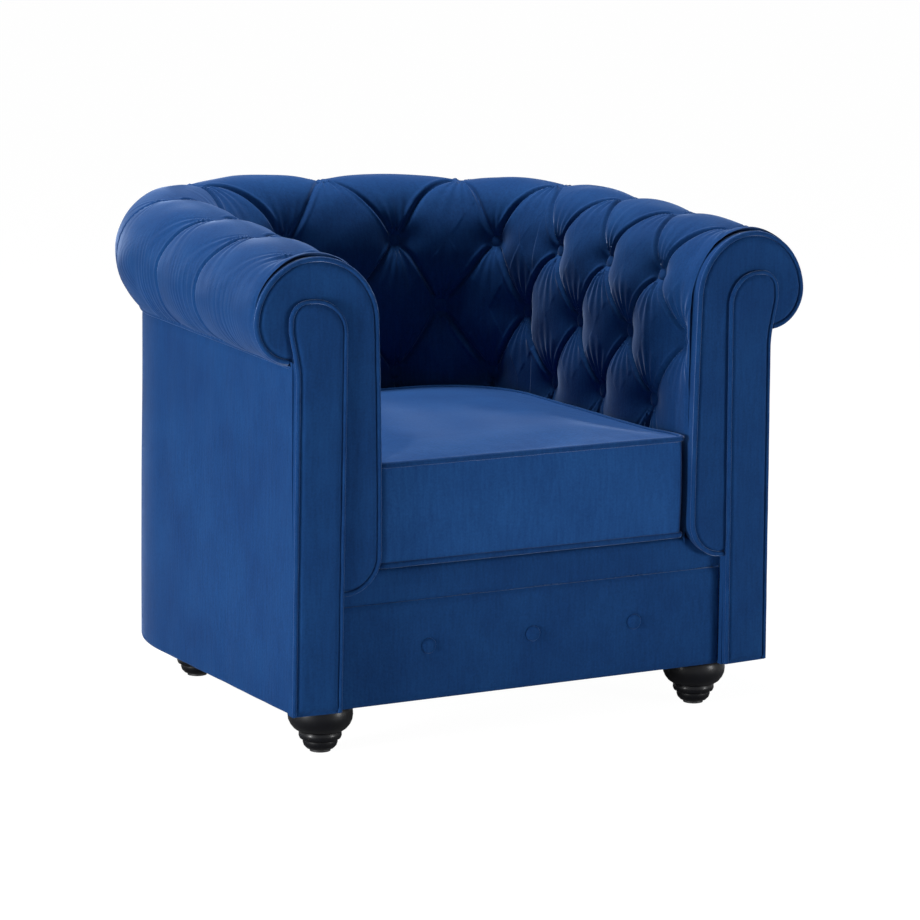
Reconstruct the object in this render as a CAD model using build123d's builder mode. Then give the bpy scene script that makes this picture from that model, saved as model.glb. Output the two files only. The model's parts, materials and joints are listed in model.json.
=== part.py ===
"""Deep-buttoned tub armchair: timber frame, springs, padding, covers, loose cushion and bun feet.

Millimetres, +Z up. X runs across the chair, the open front faces -Y, and the floor is z = 0.
The wall of the tub is one cross-section that follows a U: straight arms, quarter-circle corners
and a straight back. Places in that cross-section are given by n, the distance from the middle
of the seat outwards, as it is on a straight arm.
"""

import math
import os

from build123d import *

os.makedirs("parts", exist_ok=True)

# ---------------------------------------------------------------- driving dimensions
DEPTH = 790.0  # post faces to the back of the roll
WALL_HALF_WIDTH = 393.0  # outside face of an arm
CORNER_RADIUS = 290.0  # outside face of a rear corner
FOOT_HEIGHT = 71.0

ROLL_TOP_FRONT = 726.0
ROLL_TOP_BACK = 750.0
ROLL_MIDDLE_FRONT = 635.0  # height of the roll's widest point
ROLL_MIDDLE_BACK = 661.0
ROLL_OVERHANG_FRONT = 59.0  # how far the roll stands out past the outside face
ROLL_OVERHANG_BACK = 38.0
ROLL_CREST_INSET_FRONT = 35.0  # roll's crest inside the outside face
ROLL_CREST_INSET_BACK = 51.0
SEAM_FRONT = 566.0  # height of the joint under the roll
SEAM_BACK = 580.0
SHOULDER_FRONT = 605.0  # height where the inside face starts to curve over
SHOULDER_BACK = 622.0
KNEE_ANGLE = 35.0  # lean of the roll's inside where its two curves meet, in degrees

WALL_THICKNESS = 147.0  # outside face to the padding's inside face
SEAT_FLARE = 12.0  # the seat is wider by this much on each side at the facings
SEAT_TAPER_START = 34.0  # behind the facings
SEAT_TAPER_LENGTH = 70.0
PADDING_REAR_INSET = 70.0  # padding's rear face inside the outside face

POST_PROUD = 8.0
FACING_THICKNESS = 10.0
FACING_LAP = 0.4  # the facing's inside edge stands this far into the seat
FACING_TOP = 720.0
FACING_BOTTOM = 237.5
FACING_CORNER_RADIUS = 57.0
FACING_LEAN = 6.0  # the inside edge leans out by this much up to the shoulder
FACING_SHOULDER = 628.0
BOARD_INSET = 12.0  # scroll board inside the facing's edge
SCROLL_NECK_OUT = 7.0  # scroll's neck outside the outside face
SCROLL_NECK_LEVEL = 572.0
POST_OUT = 3.5  # post panel's foot outside the outside face
POST_WIDTH = 75.5
POST_LEAN = 7.0  # the post panel's inner edge leans in by this much up to its head
POST_TOP = 662.0
POST_NECK_IN = 5.5  # inside the post panel's foot
POST_NECK_LEVEL = 562.0
POST_BULGE_OUT = 6.5
POST_BULGE_LEVEL = 618.0
POST_SHOULDER_OUT = 4.5
POST_RADII = (150.0, 44.0, 30.0, 50.0)  # neck, bulge, shoulder and inner corner
FACING_PIPING_RADIUS = 4.5
POST_PIPING_RADIUS = 3.5
WELT_RADIUS = 3.0

RAIL_THICKNESS = 25.0
RAIL_HEIGHT = 100.0
BOARD_THICKNESS = 18.0
STRAP_THICKNESS = 2.0
STRAP_WIDTH = 50.0
ARM_STRAPS = 4
BACK_STRAP_PITCH = 70.0
STRAP_SETBACK = 8.0  # straps stop short of the rails' far edges
OUTSIDE_COVER = 7.0
RAIL_COVER = 5.0
FRONT_RAIL_TOP = 244.0
PANEL_SEAM = 218.0
ARM_RAIL_THICKNESS = 22.0
ARM_RAIL_BELOW_MIDDLE = 35.0  # rail's top under the roll's widest point
ARM_RAIL_INSET = 5.0  # arm rail's edge inside the outside face
TACK_RAIL_HEIGHT = 40.0
UPRIGHT_WIDTH = 36.0
DUST_COVER = 1.0

DECK_CLOTH = 1.0
DECK_PAD = 18.0
DECK_GAP = 1.0  # between the deck and the padding's inside face
SPRING_COUNT = 5
SPRING_PITCH = 86.0
SPRING_WIRE_RADIUS = 1.8
SPRING_LOOP_WIDTH = 44.0
SPRING_LOOPS = 14
SPRING_RAIL_SETBACK = 107.0  # rail's rear face ahead of the outside back
SPRING_BEND = 12.0
CLIP_LENGTH = 14.0
CLIP_WIDTH = 18.0
CLIP_ROOF = 1.5

CUSHION_BOTTOM_GAP = 0.4
CUSHION_HEIGHT = 153.0
CUSHION_CROWN = 14.0
CUSHION_PIPING_RADIUS = 4.5
CUSHION_SIDE_GAP = 0.6
CUSHION_REAR_GAP = 12.0
CUSHION_FRONT_SETBACK = 12.0  # behind the post faces
CUSHION_FRONT_RADIUS = 14.0
CUSHION_TAPER_LEAD = 12.0  # the cushion narrows this much ahead of the padding
COVER_THICKNESS = 1.5
ZIP_LENGTH = 200.0
ZIP_WIDTH = 12.0
ZIP_THICKNESS = 2.0
CROWN_START = 25.0
CROWN_END = 95.0

TUFT_BUTTON_RADIUS = 10.5
TUFT_BUTTON_HEIGHT = 6.0
TUFT_DEPTH = 16.0
TUFT_RADIUS = 30.0
TUFT_PITCH = 145.0  # along the arms
TUFT_COLUMNS = 3  # along an arm, in each row
TUFT_FIRST = 50.0  # first column behind the post faces
TUFT_BACK_HALF_PITCH = 97.0
UPPER_ROW_FRONT = 655.0
MIDDLE_ROW_FRONT = 560.0
LOWER_ROW_FRONT = 465.0
UPPER_ROW_BACK = 655.0
MIDDLE_ROW_BACK = 545.0
LOWER_ROW_BACK = 440.0
CORNER_BUTTON_ANGLE = 35.0
CORNER_NEAR_ANGLE = 12.0
CORNER_FAR_ANGLE = 64.0
FRONT_BUTTON_RADIUS = 10.5
FRONT_BUTTON_HEIGHT = 5.0
FRONT_BUTTON_PITCH = 172.0
FRONT_BUTTON_LEVEL = 150.0

FRONT_FOOT_INSET = 77.0  # from the outside faces of the arms
FRONT_FOOT_SETBACK = 75.0  # behind the post faces
REAR_FOOT_INSET = 115.0
REAR_FOOT_SETBACK = 183.0  # ahead of the outside back
FOOT_RADIUS = 47.0
FOOT_NECK_RADIUS = 43.0
FOOT_RING_RADIUS = 31.0
FOOT_TOE_RADIUS = 25.2
FOOT_TOE_HEIGHT = 17.0
FOOT_RING_HEIGHT = 13.0
FOOT_RING_BAND = 4.0  # upright stretch at the ring's top
FOOT_STEP = 1.0  # ledge between toe and ring
FOOT_BUN_DROP = 17.0  # widest point of the bun under the foot's top
GLIDE_RADIUS = 15.0
GLIDE_THICKNESS = 3.0
BOLT_RADIUS = 4.0
BOLT_DEPTH_IN_FOOT = 35.0
TEE_NUT_RADIUS = 10.0
TEE_NUT_FLANGE = 2.0
TEE_NUT_BARREL = 5.5
TEE_NUT_BARREL_DEPTH = 8.0
BLOCK_SIZE = 72.0
REAR_BLOCK_SIZE = 84.0
BLOCK_HEIGHT = 40.0
SCREW_RADIUS = 2.5
SCREW_LENGTH = 55.0
SCREW_HEAD_RADIUS = 5.0
SCREW_HEAD_HEIGHT = 2.0
SIDE_SCREW_SPACING = 40.0
ARM_SCREW_SPACING = 26.0
FIT = 0.2  # clearance round bolts, screws, wires and pipings

# ---------------------------------------------------------------- places worked out from them
FRONT_Y = -DEPTH / 2
FACING_Y = FRONT_Y + POST_PROUD
WALL_Y = FACING_Y + FACING_THICKNESS
RAIL_Y = WALL_Y + RAIL_COVER
BACK_Y = DEPTH / 2 - ROLL_OVERHANG_BACK
CORNER_X = WALL_HALF_WIDTH - CORNER_RADIUS
CORNER_Y = BACK_Y - CORNER_RADIUS
ROLL_CENTRE_FRONT = WALL_HALF_WIDTH - ROLL_CREST_INSET_FRONT
ROLL_CENTRE_BACK = WALL_HALF_WIDTH - ROLL_CREST_INSET_BACK
SEAT_HALF_WIDTH = WALL_HALF_WIDTH - WALL_THICKNESS
SEAT_HALF_FRONT = SEAT_HALF_WIDTH + SEAT_FLARE
PADDING_BACK = WALL_HALF_WIDTH - PADDING_REAR_INSET
FACING_INNER = SEAT_HALF_FRONT - FACING_LAP
SCROLL_NECK = (WALL_HALF_WIDTH + SCROLL_NECK_OUT, SCROLL_NECK_LEVEL)
POST_OUTER = WALL_HALF_WIDTH + POST_OUT
POST_INNER = POST_OUTER - POST_WIDTH
POST_NECK = (POST_OUTER - POST_NECK_IN, POST_NECK_LEVEL)
POST_BULGE = (POST_OUTER + POST_BULGE_OUT, POST_BULGE_LEVEL)
POST_SHOULDER = POST_OUTER + POST_SHOULDER_OUT
ARM_RAIL_OUTER = WALL_HALF_WIDTH - ARM_RAIL_INSET
SPRING_RAIL_REAR = BACK_Y - SPRING_RAIL_SETBACK
FRONT_FOOT = (WALL_HALF_WIDTH - FRONT_FOOT_INSET, FRONT_Y + FRONT_FOOT_SETBACK)
REAR_FOOT = (WALL_HALF_WIDTH - REAR_FOOT_INSET, BACK_Y - REAR_FOOT_SETBACK)
FRAME_OUTER = WALL_HALF_WIDTH - OUTSIDE_COVER
FRAME_INNER = FRAME_OUTER - RAIL_THICKNESS
FRAME_BOTTOM = FOOT_HEIGHT + DUST_COVER
TACK_INNER = PADDING_BACK + STRAP_THICKNESS
TACK_OUTER = TACK_INNER + BOARD_THICKNESS
RAIL_INNER_Y = RAIL_Y + RAIL_THICKNESS
BOARD_REAR_Y = WALL_Y + BOARD_THICKNESS
STRAP_PITCH = (CORNER_Y - BOARD_REAR_Y) / ARM_STRAPS
SPRING_Z = FRONT_RAIL_TOP + SPRING_WIRE_RADIUS + FIT
CLOTH_Z = SPRING_Z + SPRING_WIRE_RADIUS + FIT + CLIP_ROOF
DECK_Z = CLOTH_Z + DECK_CLOTH + DECK_PAD
BAND_TOP = DECK_Z
PADDING_BOTTOM = CLOTH_Z
CUSHION_BOTTOM = DECK_Z + CUSHION_BOTTOM_GAP
DECK_OUTER = SEAT_HALF_WIDTH - DECK_GAP
ARM_RAIL_MIDDLE_FRONT = ROLL_MIDDLE_FRONT - ARM_RAIL_BELOW_MIDDLE - ARM_RAIL_THICKNESS / 2
BACK_SHIFT = CORNER_Y - CORNER_X  # a back section's n becomes y by this shift
FRONT_SECTION = dict(
    inner=SEAT_HALF_FRONT,
    top=ROLL_TOP_FRONT,
    middle=ROLL_MIDDLE_FRONT,
    centre=ROLL_CENTRE_FRONT,
    overhang=ROLL_OVERHANG_FRONT,
    seam=SEAM_FRONT,
    shoulder=SHOULDER_FRONT,
)
BACK_SECTION = dict(
    inner=SEAT_HALF_WIDTH,
    top=ROLL_TOP_BACK,
    middle=ROLL_MIDDLE_BACK,
    centre=ROLL_CENTRE_BACK,
    overhang=ROLL_OVERHANG_BACK,
    seam=SEAM_BACK,
    shoulder=SHOULDER_BACK,
)


def section_at(y):
    """Cross-section sizes of an arm at y: the roll rises and draws in towards the back."""
    share = (y - WALL_Y) / (CORNER_Y - WALL_Y)
    mixed = {key: value + share * (BACK_SECTION[key] - value) for key, value in FRONT_SECTION.items()}
    taper = min(max((y - WALL_Y - SEAT_TAPER_START) / SEAT_TAPER_LENGTH, 0.0), 1.0)
    mixed["inner"] = SEAT_HALF_FRONT + taper * (SEAT_HALF_WIDTH - SEAT_HALF_FRONT)
    return mixed


def arm_plane(y):
    """Upright plane across the chair at y, seen from the front: local x is X and local y is Z."""
    return Plane.XZ.offset(-y)


def back_plane(x):
    """Upright plane along the chair at x whose local x is n and local y is Z."""
    return Plane(origin=(x, BACK_SHIFT, 0), x_dir=(0, 1, 0), z_dir=(1, 0, 0))


def corner_axis():
    """Upright axis that the right rear corner turns round."""
    return Axis((CORNER_X, CORNER_Y, 0), (0, 0, 1))


def shoulder_radius(size):
    """Radius of the curve from the inside face to the knee; a second one ends level at the crest."""
    span = size["centre"] - size["inner"]
    lift = size["top"] - size["shoulder"]
    sine = math.sin(math.radians(KNEE_ANGLE))
    cosine = math.cos(math.radians(KNEE_ANGLE))
    return (lift * cosine - span * (1 - sine)) / (sine + cosine - 1)


def roll_knee(size):
    """Point where the two curves between the inside face and the roll's crest meet."""
    radius = shoulder_radius(size)
    turn = math.radians(KNEE_ANGLE)
    return (size["inner"] + radius * (1 - math.cos(turn)), size["shoulder"] + radius * math.sin(turn))


def padding_sketch(plane, size):
    """Padding's cross-section: inside face, roll, and the notch that sits on the arm rail."""
    outer = WALL_HALF_WIDTH + size["overhang"]
    rail_top = size["middle"] - ARM_RAIL_BELOW_MIDDLE
    with BuildSketch(plane) as profile:
        with BuildLine():
            crest = (size["centre"], size["top"])
            Line((size["inner"], PADDING_BOTTOM), (size["inner"], size["shoulder"]))
            TangentArc((size["inner"], size["shoulder"]), roll_knee(size), tangent=(0, 1))
            TangentArc(crest, roll_knee(size), tangent=(-1, 0))
            TangentArc(crest, (outer, size["middle"]), tangent=(1, 0))
            TangentArc((outer, size["middle"]), (WALL_HALF_WIDTH, size["seam"]), tangent=(0, -1))
            Polyline(
                (WALL_HALF_WIDTH, size["seam"]),
                (FRAME_OUTER, size["seam"]),
                (FRAME_OUTER, rail_top - ARM_RAIL_THICKNESS),
                (ARM_RAIL_OUTER, rail_top - ARM_RAIL_THICKNESS),
                (ARM_RAIL_OUTER, rail_top),
                (PADDING_BACK, rail_top),
                (PADDING_BACK, PADDING_BOTTOM),
                (size["inner"], PADDING_BOTTOM),
            )
        make_face()
    return profile.sketch


def rectangle_sketch(plane, low, high):
    """Rectangle on a plane between two corners."""
    with BuildSketch(plane) as profile:
        with Locations(((low[0] + high[0]) / 2, (low[1] + high[1]) / 2)):
            Rectangle(high[0] - low[0], high[1] - low[1])
    return profile.sketch


def tub_plan(reach, front):
    """Plan outline of the tub at n = reach: straight sides, round rear corners, open front at y = front."""
    radius = reach - CORNER_X
    with BuildSketch() as plan:
        with BuildLine():
            Polyline(
                (-reach, CORNER_Y),
                (-reach, front),
                (reach, front),
                (reach, CORNER_Y),
            )
            RadiusArc((reach, CORNER_Y), (CORNER_X, CORNER_Y + radius), -radius)
            Line((CORNER_X, CORNER_Y + radius), (-CORNER_X, CORNER_Y + radius))
            RadiusArc((-CORNER_X, CORNER_Y + radius), (-reach, CORNER_Y), -radius)
        make_face()
    return plan.sketch


def write(piece, name):
    """Labels a finished piece and writes its file."""
    piece.part.label = name
    export_step(piece.part, f"parts/{name}.step")


def write_pair(piece, name):
    """Writes a right-hand piece and its mirror image on the left."""
    write(piece, f"right_{name}")
    with BuildPart() as twin:
        add(piece.part)
        mirror(about=Plane.YZ, mode=Mode.REPLACE)
    write(twin, f"left_{name}")


# ---------------------------------------------------------------- tufting places
def tuft_rows():
    """Tufting buttons of the right half: lists of (region, along, n, height, tilt).

    along is y on the arm, an angle in the corner and x on the back; tilt leans the button up.
    """
    straight = CORNER_Y - FRONT_Y
    places = []
    rows = (
        ("upper", UPPER_ROW_FRONT, UPPER_ROW_BACK, 0.5),
        ("middle", MIDDLE_ROW_FRONT, MIDDLE_ROW_BACK, 0.0),
        ("lower", LOWER_ROW_FRONT, LOWER_ROW_BACK, 0.5),
    )
    for row, front_height, back_height, phase in rows:
        for index in range(TUFT_COLUMNS):
            run = TUFT_FIRST + (index + phase) * TUFT_PITCH
            height = front_height + (back_height - front_height) * run / straight
            places.append(("arm", row, FRONT_Y + run, height))
        angles = (CORNER_BUTTON_ANGLE,) if phase else (CORNER_NEAR_ANGLE, CORNER_FAR_ANGLE)
        for angle in angles:
            places.append(("corner", row, angle, back_height))
        places.append(("back", row, TUFT_BACK_HALF_PITCH if phase else 0.0, back_height))
    return places


def tuft_plane(region, row, along, height):
    """Plane on the padding's inside face at a button, facing the seat."""
    size = section_at(along) if region == "arm" else BACK_SECTION
    reach = size["inner"]
    rise = 0.0
    if row == "upper":
        # on the curve over the shoulder
        radius = shoulder_radius(size)
        rise = math.asin((height - size["shoulder"]) / radius)
        reach += radius * (1 - math.cos(rise))
    inward = math.cos(rise)
    if region == "arm":
        return Plane(origin=(reach, along, height), z_dir=(-inward, 0, math.sin(rise)))
    turn = math.radians(along) if region == "corner" else math.pi / 2
    x = along if region == "back" else CORNER_X + (reach - CORNER_X) * math.cos(turn)
    y = CORNER_Y + (reach - CORNER_X) * math.sin(turn)
    facing = (-inward * math.cos(turn), -inward * math.sin(turn), math.sin(rise))
    return Plane(origin=(x, y, height), z_dir=facing)


def tuft_planes(*regions):
    """Planes of some regions' buttons on the right half."""
    return [tuft_plane(*place) for place in tuft_rows() if place[0] in regions]


def dimples(planes):
    """Funnels that the buttons pull into the padding, as one group of cutting solids."""
    with BuildPart() as funnels:
        for plane in planes:
            with Locations(plane.location):
                Cone(
                    TUFT_BUTTON_RADIUS + FIT,
                    TUFT_RADIUS,
                    TUFT_DEPTH,
                    align=(Align.CENTER, Align.CENTER, Align.MAX),
                )
            with Locations(plane.location):
                Cylinder(TUFT_RADIUS, TUFT_DEPTH, align=(Align.CENTER, Align.CENTER, Align.MIN))
    return funnels.part


# ---------------------------------------------------------------- outlines of the arm front
def arc_chain(tangent, *points):
    """Arcs through local points, each leaving along the end of the one before."""
    heading = Vector(tangent)
    for start, end in zip(points, points[1:]):
        TangentArc(start, end, tangent=tuple(heading)[:2])
        chord = (Vector(end) - Vector(start)).normalized()
        heading = chord * (2 * chord.dot(heading)) - heading


def facing_edge(inset):
    """Edge of a right-hand facing, from its lower corner over the scroll to the neck, drawn inset."""
    inner = FACING_INNER + inset
    bottom = FACING_BOTTOM + inset
    radius = FACING_CORNER_RADIUS - inset
    shoulder = (inner + FACING_LEAN, FACING_SHOULDER)
    crest = (ROLL_CENTRE_FRONT, FACING_TOP - inset)
    widest = (WALL_HALF_WIDTH + ROLL_OVERHANG_FRONT - inset, ROLL_MIDDLE_FRONT)
    neck = (SCROLL_NECK[0], SCROLL_NECK[1] + inset)
    Line((POST_INNER, bottom), (inner + radius, bottom))
    TangentArc((inner + radius, bottom), (inner, bottom + radius), tangent=(-1, 0))
    arc_chain((0, 1), (inner, bottom + radius), shoulder, crest, widest, neck)


def facing_sketch(plane, inset, leg_outer):
    """Right-hand facing with the leg that runs down behind the post panel."""
    with BuildSketch(plane) as outline:
        with BuildLine():
            facing_edge(inset)
            Polyline(
                (SCROLL_NECK[0], SCROLL_NECK[1] + inset),
                (leg_outer, SCROLL_NECK[1] + inset),
                (leg_outer, FRAME_BOTTOM),
                (POST_INNER, FRAME_BOTTOM),
                (POST_INNER, FACING_BOTTOM + inset),
            )
        make_face()
    return outline.sketch


def post_edge(inset):
    """Edge of a right-hand post panel from its outer foot up, over the head and down its inner side."""
    FilletPolyline(
        (POST_OUTER - inset, FOOT_HEIGHT + inset),
        (POST_NECK[0] - inset, POST_NECK[1]),
        (POST_BULGE[0] - inset, POST_BULGE[1]),
        (POST_SHOULDER - inset, POST_TOP - inset),
        (POST_INNER - POST_LEAN + inset, POST_TOP - inset),
        (POST_INNER + inset, FOOT_HEIGHT + inset),
        radius=[POST_RADII[0] + inset, *(radius - inset for radius in POST_RADII[1:])],
    )


def post_sketch(plane, inset):
    """Right-hand post panel."""
    with BuildSketch(plane) as outline:
        with BuildLine():
            post_edge(inset)
            Line((POST_INNER + inset, FOOT_HEIGHT + inset), (POST_OUTER - inset, FOOT_HEIGHT + inset))
        make_face()
    return outline.sketch


def tube(path, radius):
    """Round cord swept along a path of lines and tangent arcs."""
    with BuildPart() as cord:
        with BuildSketch(Plane(origin=path @ 0, z_dir=path % 0)):
            Circle(radius)
        sweep(path=path)
    return cord


def box_between(low, high, mode=Mode.ADD):
    """Box between two opposite corners, in the part being built."""
    middle = tuple((a + b) / 2 for a, b in zip(low, high))
    size = tuple(b - a for a, b in zip(low, high))
    with Locations(middle):
        Box(*size, mode=mode)


def corner_turn(sketch):
    """Turns a cross-section through the right rear corner."""
    revolve(sketch, axis=corner_axis(), revolution_arc=90)


def bent_rail(low, high):
    """One bent length along both rear corners and the back, from two (n, z) corners of its section."""
    with BuildPart() as rail:
        corner_turn(rectangle_sketch(arm_plane(CORNER_Y), low, high))
        mirror(about=Plane.YZ)
        extrude(rectangle_sketch(back_plane(-CORNER_X), low, high), amount=2 * CORNER_X)
    return rail


# ---------------------------------------------------------------- padding over arms, corners and back
with BuildPart() as arm_padding:
    taper_start = WALL_Y + SEAT_TAPER_START
    stations = (WALL_Y, taper_start, taper_start + SEAT_TAPER_LENGTH, CORNER_Y)
    loft([padding_sketch(arm_plane(y), section_at(y)) for y in stations], ruled=True)
    board_outline = facing_sketch(arm_plane(BOARD_REAR_Y), BOARD_INSET, FRAME_OUTER)
    extrude(board_outline, amount=BOARD_THICKNESS, mode=Mode.SUBTRACT)
    band_low = (0, WALL_Y, FOOT_HEIGHT)
    band_high = (POST_INNER, RAIL_INNER_Y, BAND_TOP)
    box_between(band_low, band_high, mode=Mode.SUBTRACT)
    add(dimples(tuft_planes("arm")), mode=Mode.SUBTRACT)
write_pair(arm_padding, "arm_padding")

with BuildPart() as corner_padding:
    corner_turn(padding_sketch(arm_plane(CORNER_Y), BACK_SECTION))
    add(dimples(tuft_planes("corner", "back")), mode=Mode.SUBTRACT)
write_pair(corner_padding, "corner_padding")

with BuildPart() as back_padding:
    extrude(padding_sketch(back_plane(-CORNER_X), BACK_SECTION), amount=2 * CORNER_X)
    half_dimples = dimples(tuft_planes("back", "corner"))
    add(half_dimples, mode=Mode.SUBTRACT)
    add(half_dimples.mirror(Plane.YZ), mode=Mode.SUBTRACT)
write(back_padding, "back_padding")

# ---------------------------------------------------------------- tufting buttons
with BuildPart() as tuft_button:
    Cylinder(TUFT_BUTTON_RADIUS, TUFT_BUTTON_HEIGHT, align=(Align.CENTER, Align.CENTER, Align.MIN))
    fillet(tuft_button.edges().group_by(Axis.Z)[-1], radius=TUFT_BUTTON_HEIGHT / 2)


def button_group(button, planes, sink):
    """Buttons on planes, sunk below each plane's origin."""
    with BuildPart() as group:
        with Locations(*(plane.offset(-sink).location for plane in planes)):
            add(button.part)
    return group


write_pair(button_group(tuft_button, tuft_planes("arm"), TUFT_DEPTH), "arm_buttons")

with BuildPart() as back_buttons:
    half_buttons = button_group(tuft_button, tuft_planes("corner", "back"), TUFT_DEPTH).part
    add(half_buttons)
    add(half_buttons.mirror(Plane.YZ))
write(back_buttons, "back_buttons")

# ---------------------------------------------------------------- outside covers and the welt under the roll
with BuildPart() as outside_arm:
    with BuildSketch(Plane.YZ.offset(FRAME_OUTER)):
        Polygon(
            (WALL_Y, FOOT_HEIGHT),
            (CORNER_Y, FOOT_HEIGHT),
            (CORNER_Y, SEAM_BACK),
            (WALL_Y, SEAM_FRONT),
            align=None,
        )
    extrude(amount=OUTSIDE_COVER)
write_pair(outside_arm, "outside_arm")

write(bent_rail((FRAME_OUTER, FOOT_HEIGHT), (WALL_HALF_WIDTH, SEAM_BACK)), "outside_back")

welt_reach = WALL_HALF_WIDTH + WELT_RADIUS
with BuildPart() as roll_welt:
    with BuildLine() as arm_run:
        Line(
            (welt_reach, WALL_Y + FIT, SEAM_FRONT - WELT_RADIUS),
            (welt_reach, CORNER_Y, SEAM_BACK - WELT_RADIUS),
        )
    add(tube(arm_run.wires()[0], WELT_RADIUS).part)
    with BuildSketch(arm_plane(CORNER_Y)) as welt_round:
        with Locations((welt_reach, SEAM_BACK - WELT_RADIUS)):
            Circle(WELT_RADIUS)
    corner_turn(welt_round.sketch)
    mirror(about=Plane.YZ)
    with BuildSketch(back_plane(-CORNER_X)) as welt_back:
        with Locations((welt_reach, SEAM_BACK - WELT_RADIUS)):
            Circle(WELT_RADIUS)
    extrude(welt_back.sketch, amount=2 * CORNER_X)
write(roll_welt, "roll_welt")

# ---------------------------------------------------------------- arm fronts
with BuildPart() as facing:
    facing_outline = facing_sketch(arm_plane(WALL_Y), 2 * FACING_PIPING_RADIUS + FIT, WALL_HALF_WIDTH)
    extrude(facing_outline, amount=FACING_THICKNESS)
write_pair(facing, "scroll_facing")

with BuildLine(Plane.XZ) as scroll_edge:
    facing_edge(FACING_PIPING_RADIUS)
scroll_piping_path = scroll_edge.line.moved(Location((0, WALL_Y - FACING_PIPING_RADIUS, 0)))
write_pair(tube(scroll_piping_path.wires()[0], FACING_PIPING_RADIUS), "scroll_piping")

with BuildPart() as post_panel:
    extrude(post_sketch(arm_plane(FACING_Y), 2 * POST_PIPING_RADIUS + FIT), amount=POST_PROUD)
write_pair(post_panel, "post_panel")

with BuildLine(Plane.XZ) as head_edge:
    post_edge(POST_PIPING_RADIUS)
post_piping_path = head_edge.line.moved(Location((0, FACING_Y - POST_PIPING_RADIUS, 0)))
write_pair(tube(post_piping_path.wires()[0], POST_PIPING_RADIUS), "post_piping")

# ---------------------------------------------------------------- front border under the seat
with BuildPart() as front_panel:
    box_between((-POST_INNER, WALL_Y, FOOT_HEIGHT), (POST_INNER, RAIL_Y, PANEL_SEAM))
write(front_panel, "front_panel")

with BuildPart() as front_band:
    box_between((-POST_INNER, WALL_Y, PANEL_SEAM), (POST_INNER, RAIL_Y, BAND_TOP))
    box_between((-POST_INNER, RAIL_Y, CLOTH_Z), (POST_INNER, RAIL_INNER_Y, BAND_TOP))
write(front_band, "front_band")

with BuildPart() as border_button:
    Cylinder(FRONT_BUTTON_RADIUS, FRONT_BUTTON_HEIGHT, align=(Align.CENTER, Align.CENTER, Align.MIN))
    fillet(border_button.edges().group_by(Axis.Z)[-1], radius=FRONT_BUTTON_HEIGHT / 2)
border_planes = [
    Plane(origin=(x, WALL_Y, FRONT_BUTTON_LEVEL), z_dir=(0, -1, 0))
    for x in (-FRONT_BUTTON_PITCH, 0, FRONT_BUTTON_PITCH)
]
write(button_group(border_button, border_planes, 0), "front_buttons")

# ---------------------------------------------------------------- timber frame
side_screw_x = FRAME_OUTER - RAIL_THICKNESS / 2
side_screw_z = FRAME_BOTTOM + RAIL_HEIGHT / 2
arm_screw_x = (TACK_INNER + ARM_RAIL_OUTER) / 2
screw_places = (
    (side_screw_x, side_screw_z - SIDE_SCREW_SPACING / 2),
    (side_screw_x, side_screw_z + SIDE_SCREW_SPACING / 2),
    (arm_screw_x - ARM_SCREW_SPACING / 2, ARM_RAIL_MIDDLE_FRONT),
    (arm_screw_x + ARM_SCREW_SPACING / 2, ARM_RAIL_MIDDLE_FRONT),
)
screw_planes = [Plane(origin=(x, WALL_Y, z), z_dir=(0, -1, 0)) for x, z in screw_places]


def screw_holes():
    """Cuts the right-hand frame screws' holes into the part being built."""
    with Locations(*(plane.location for plane in screw_planes)):
        CounterBoreHole(
            SCREW_RADIUS + FIT,
            SCREW_HEAD_RADIUS + FIT,
            SCREW_HEAD_HEIGHT,
            depth=SCREW_LENGTH + FIT,
        )


with BuildPart() as scroll_board:
    extrude(board_outline, amount=BOARD_THICKNESS)
    box_between(band_low, band_high, mode=Mode.SUBTRACT)
    screw_holes()
write_pair(scroll_board, "scroll_board")

with BuildPart() as side_rail:
    box_between(
        (FRAME_INNER, BOARD_REAR_Y, FRAME_BOTTOM),
        (FRAME_OUTER, CORNER_Y, FRAME_BOTTOM + RAIL_HEIGHT),
    )
    screw_holes()
write_pair(side_rail, "side_rail")


def arm_rail_sketch(y):
    """Arm rail's cross-section at y."""
    top = section_at(y)["middle"] - ARM_RAIL_BELOW_MIDDLE
    return rectangle_sketch(arm_plane(y), (TACK_INNER, top - ARM_RAIL_THICKNESS), (ARM_RAIL_OUTER, top))


with BuildPart() as arm_rail:
    loft([arm_rail_sketch(BOARD_REAR_Y), arm_rail_sketch(CORNER_Y)], ruled=True)
    screw_holes()
write_pair(arm_rail, "arm_rail")

rail_top = FRAME_BOTTOM + RAIL_HEIGHT
top_rail_top = ROLL_MIDDLE_BACK - ARM_RAIL_BELOW_MIDDLE
top_rail_bottom = top_rail_top - ARM_RAIL_THICKNESS
with BuildPart() as arm_upright:
    box_between((TACK_OUTER, CORNER_Y - UPRIGHT_WIDTH, rail_top), (FRAME_OUTER, CORNER_Y, top_rail_bottom))
    add(arm_rail.part, mode=Mode.SUBTRACT)
write_pair(arm_upright, "arm_upright")

with BuildPart() as arm_tack_rail:
    tack_high = (TACK_OUTER, CORNER_Y, PADDING_BOTTOM + TACK_RAIL_HEIGHT)
    box_between((TACK_INNER, BOARD_REAR_Y, PADDING_BOTTOM), tack_high)
write_pair(arm_tack_rail, "arm_tack_rail")

with BuildPart() as back_posts:
    post_low = (CORNER_X - UPRIGHT_WIDTH, BACK_SHIFT + TACK_OUTER, rail_top)
    box_between(post_low, (CORNER_X, BACK_SHIFT + FRAME_OUTER, top_rail_bottom))
    mirror(about=Plane.YZ)
write(back_posts, "back_posts")

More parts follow.
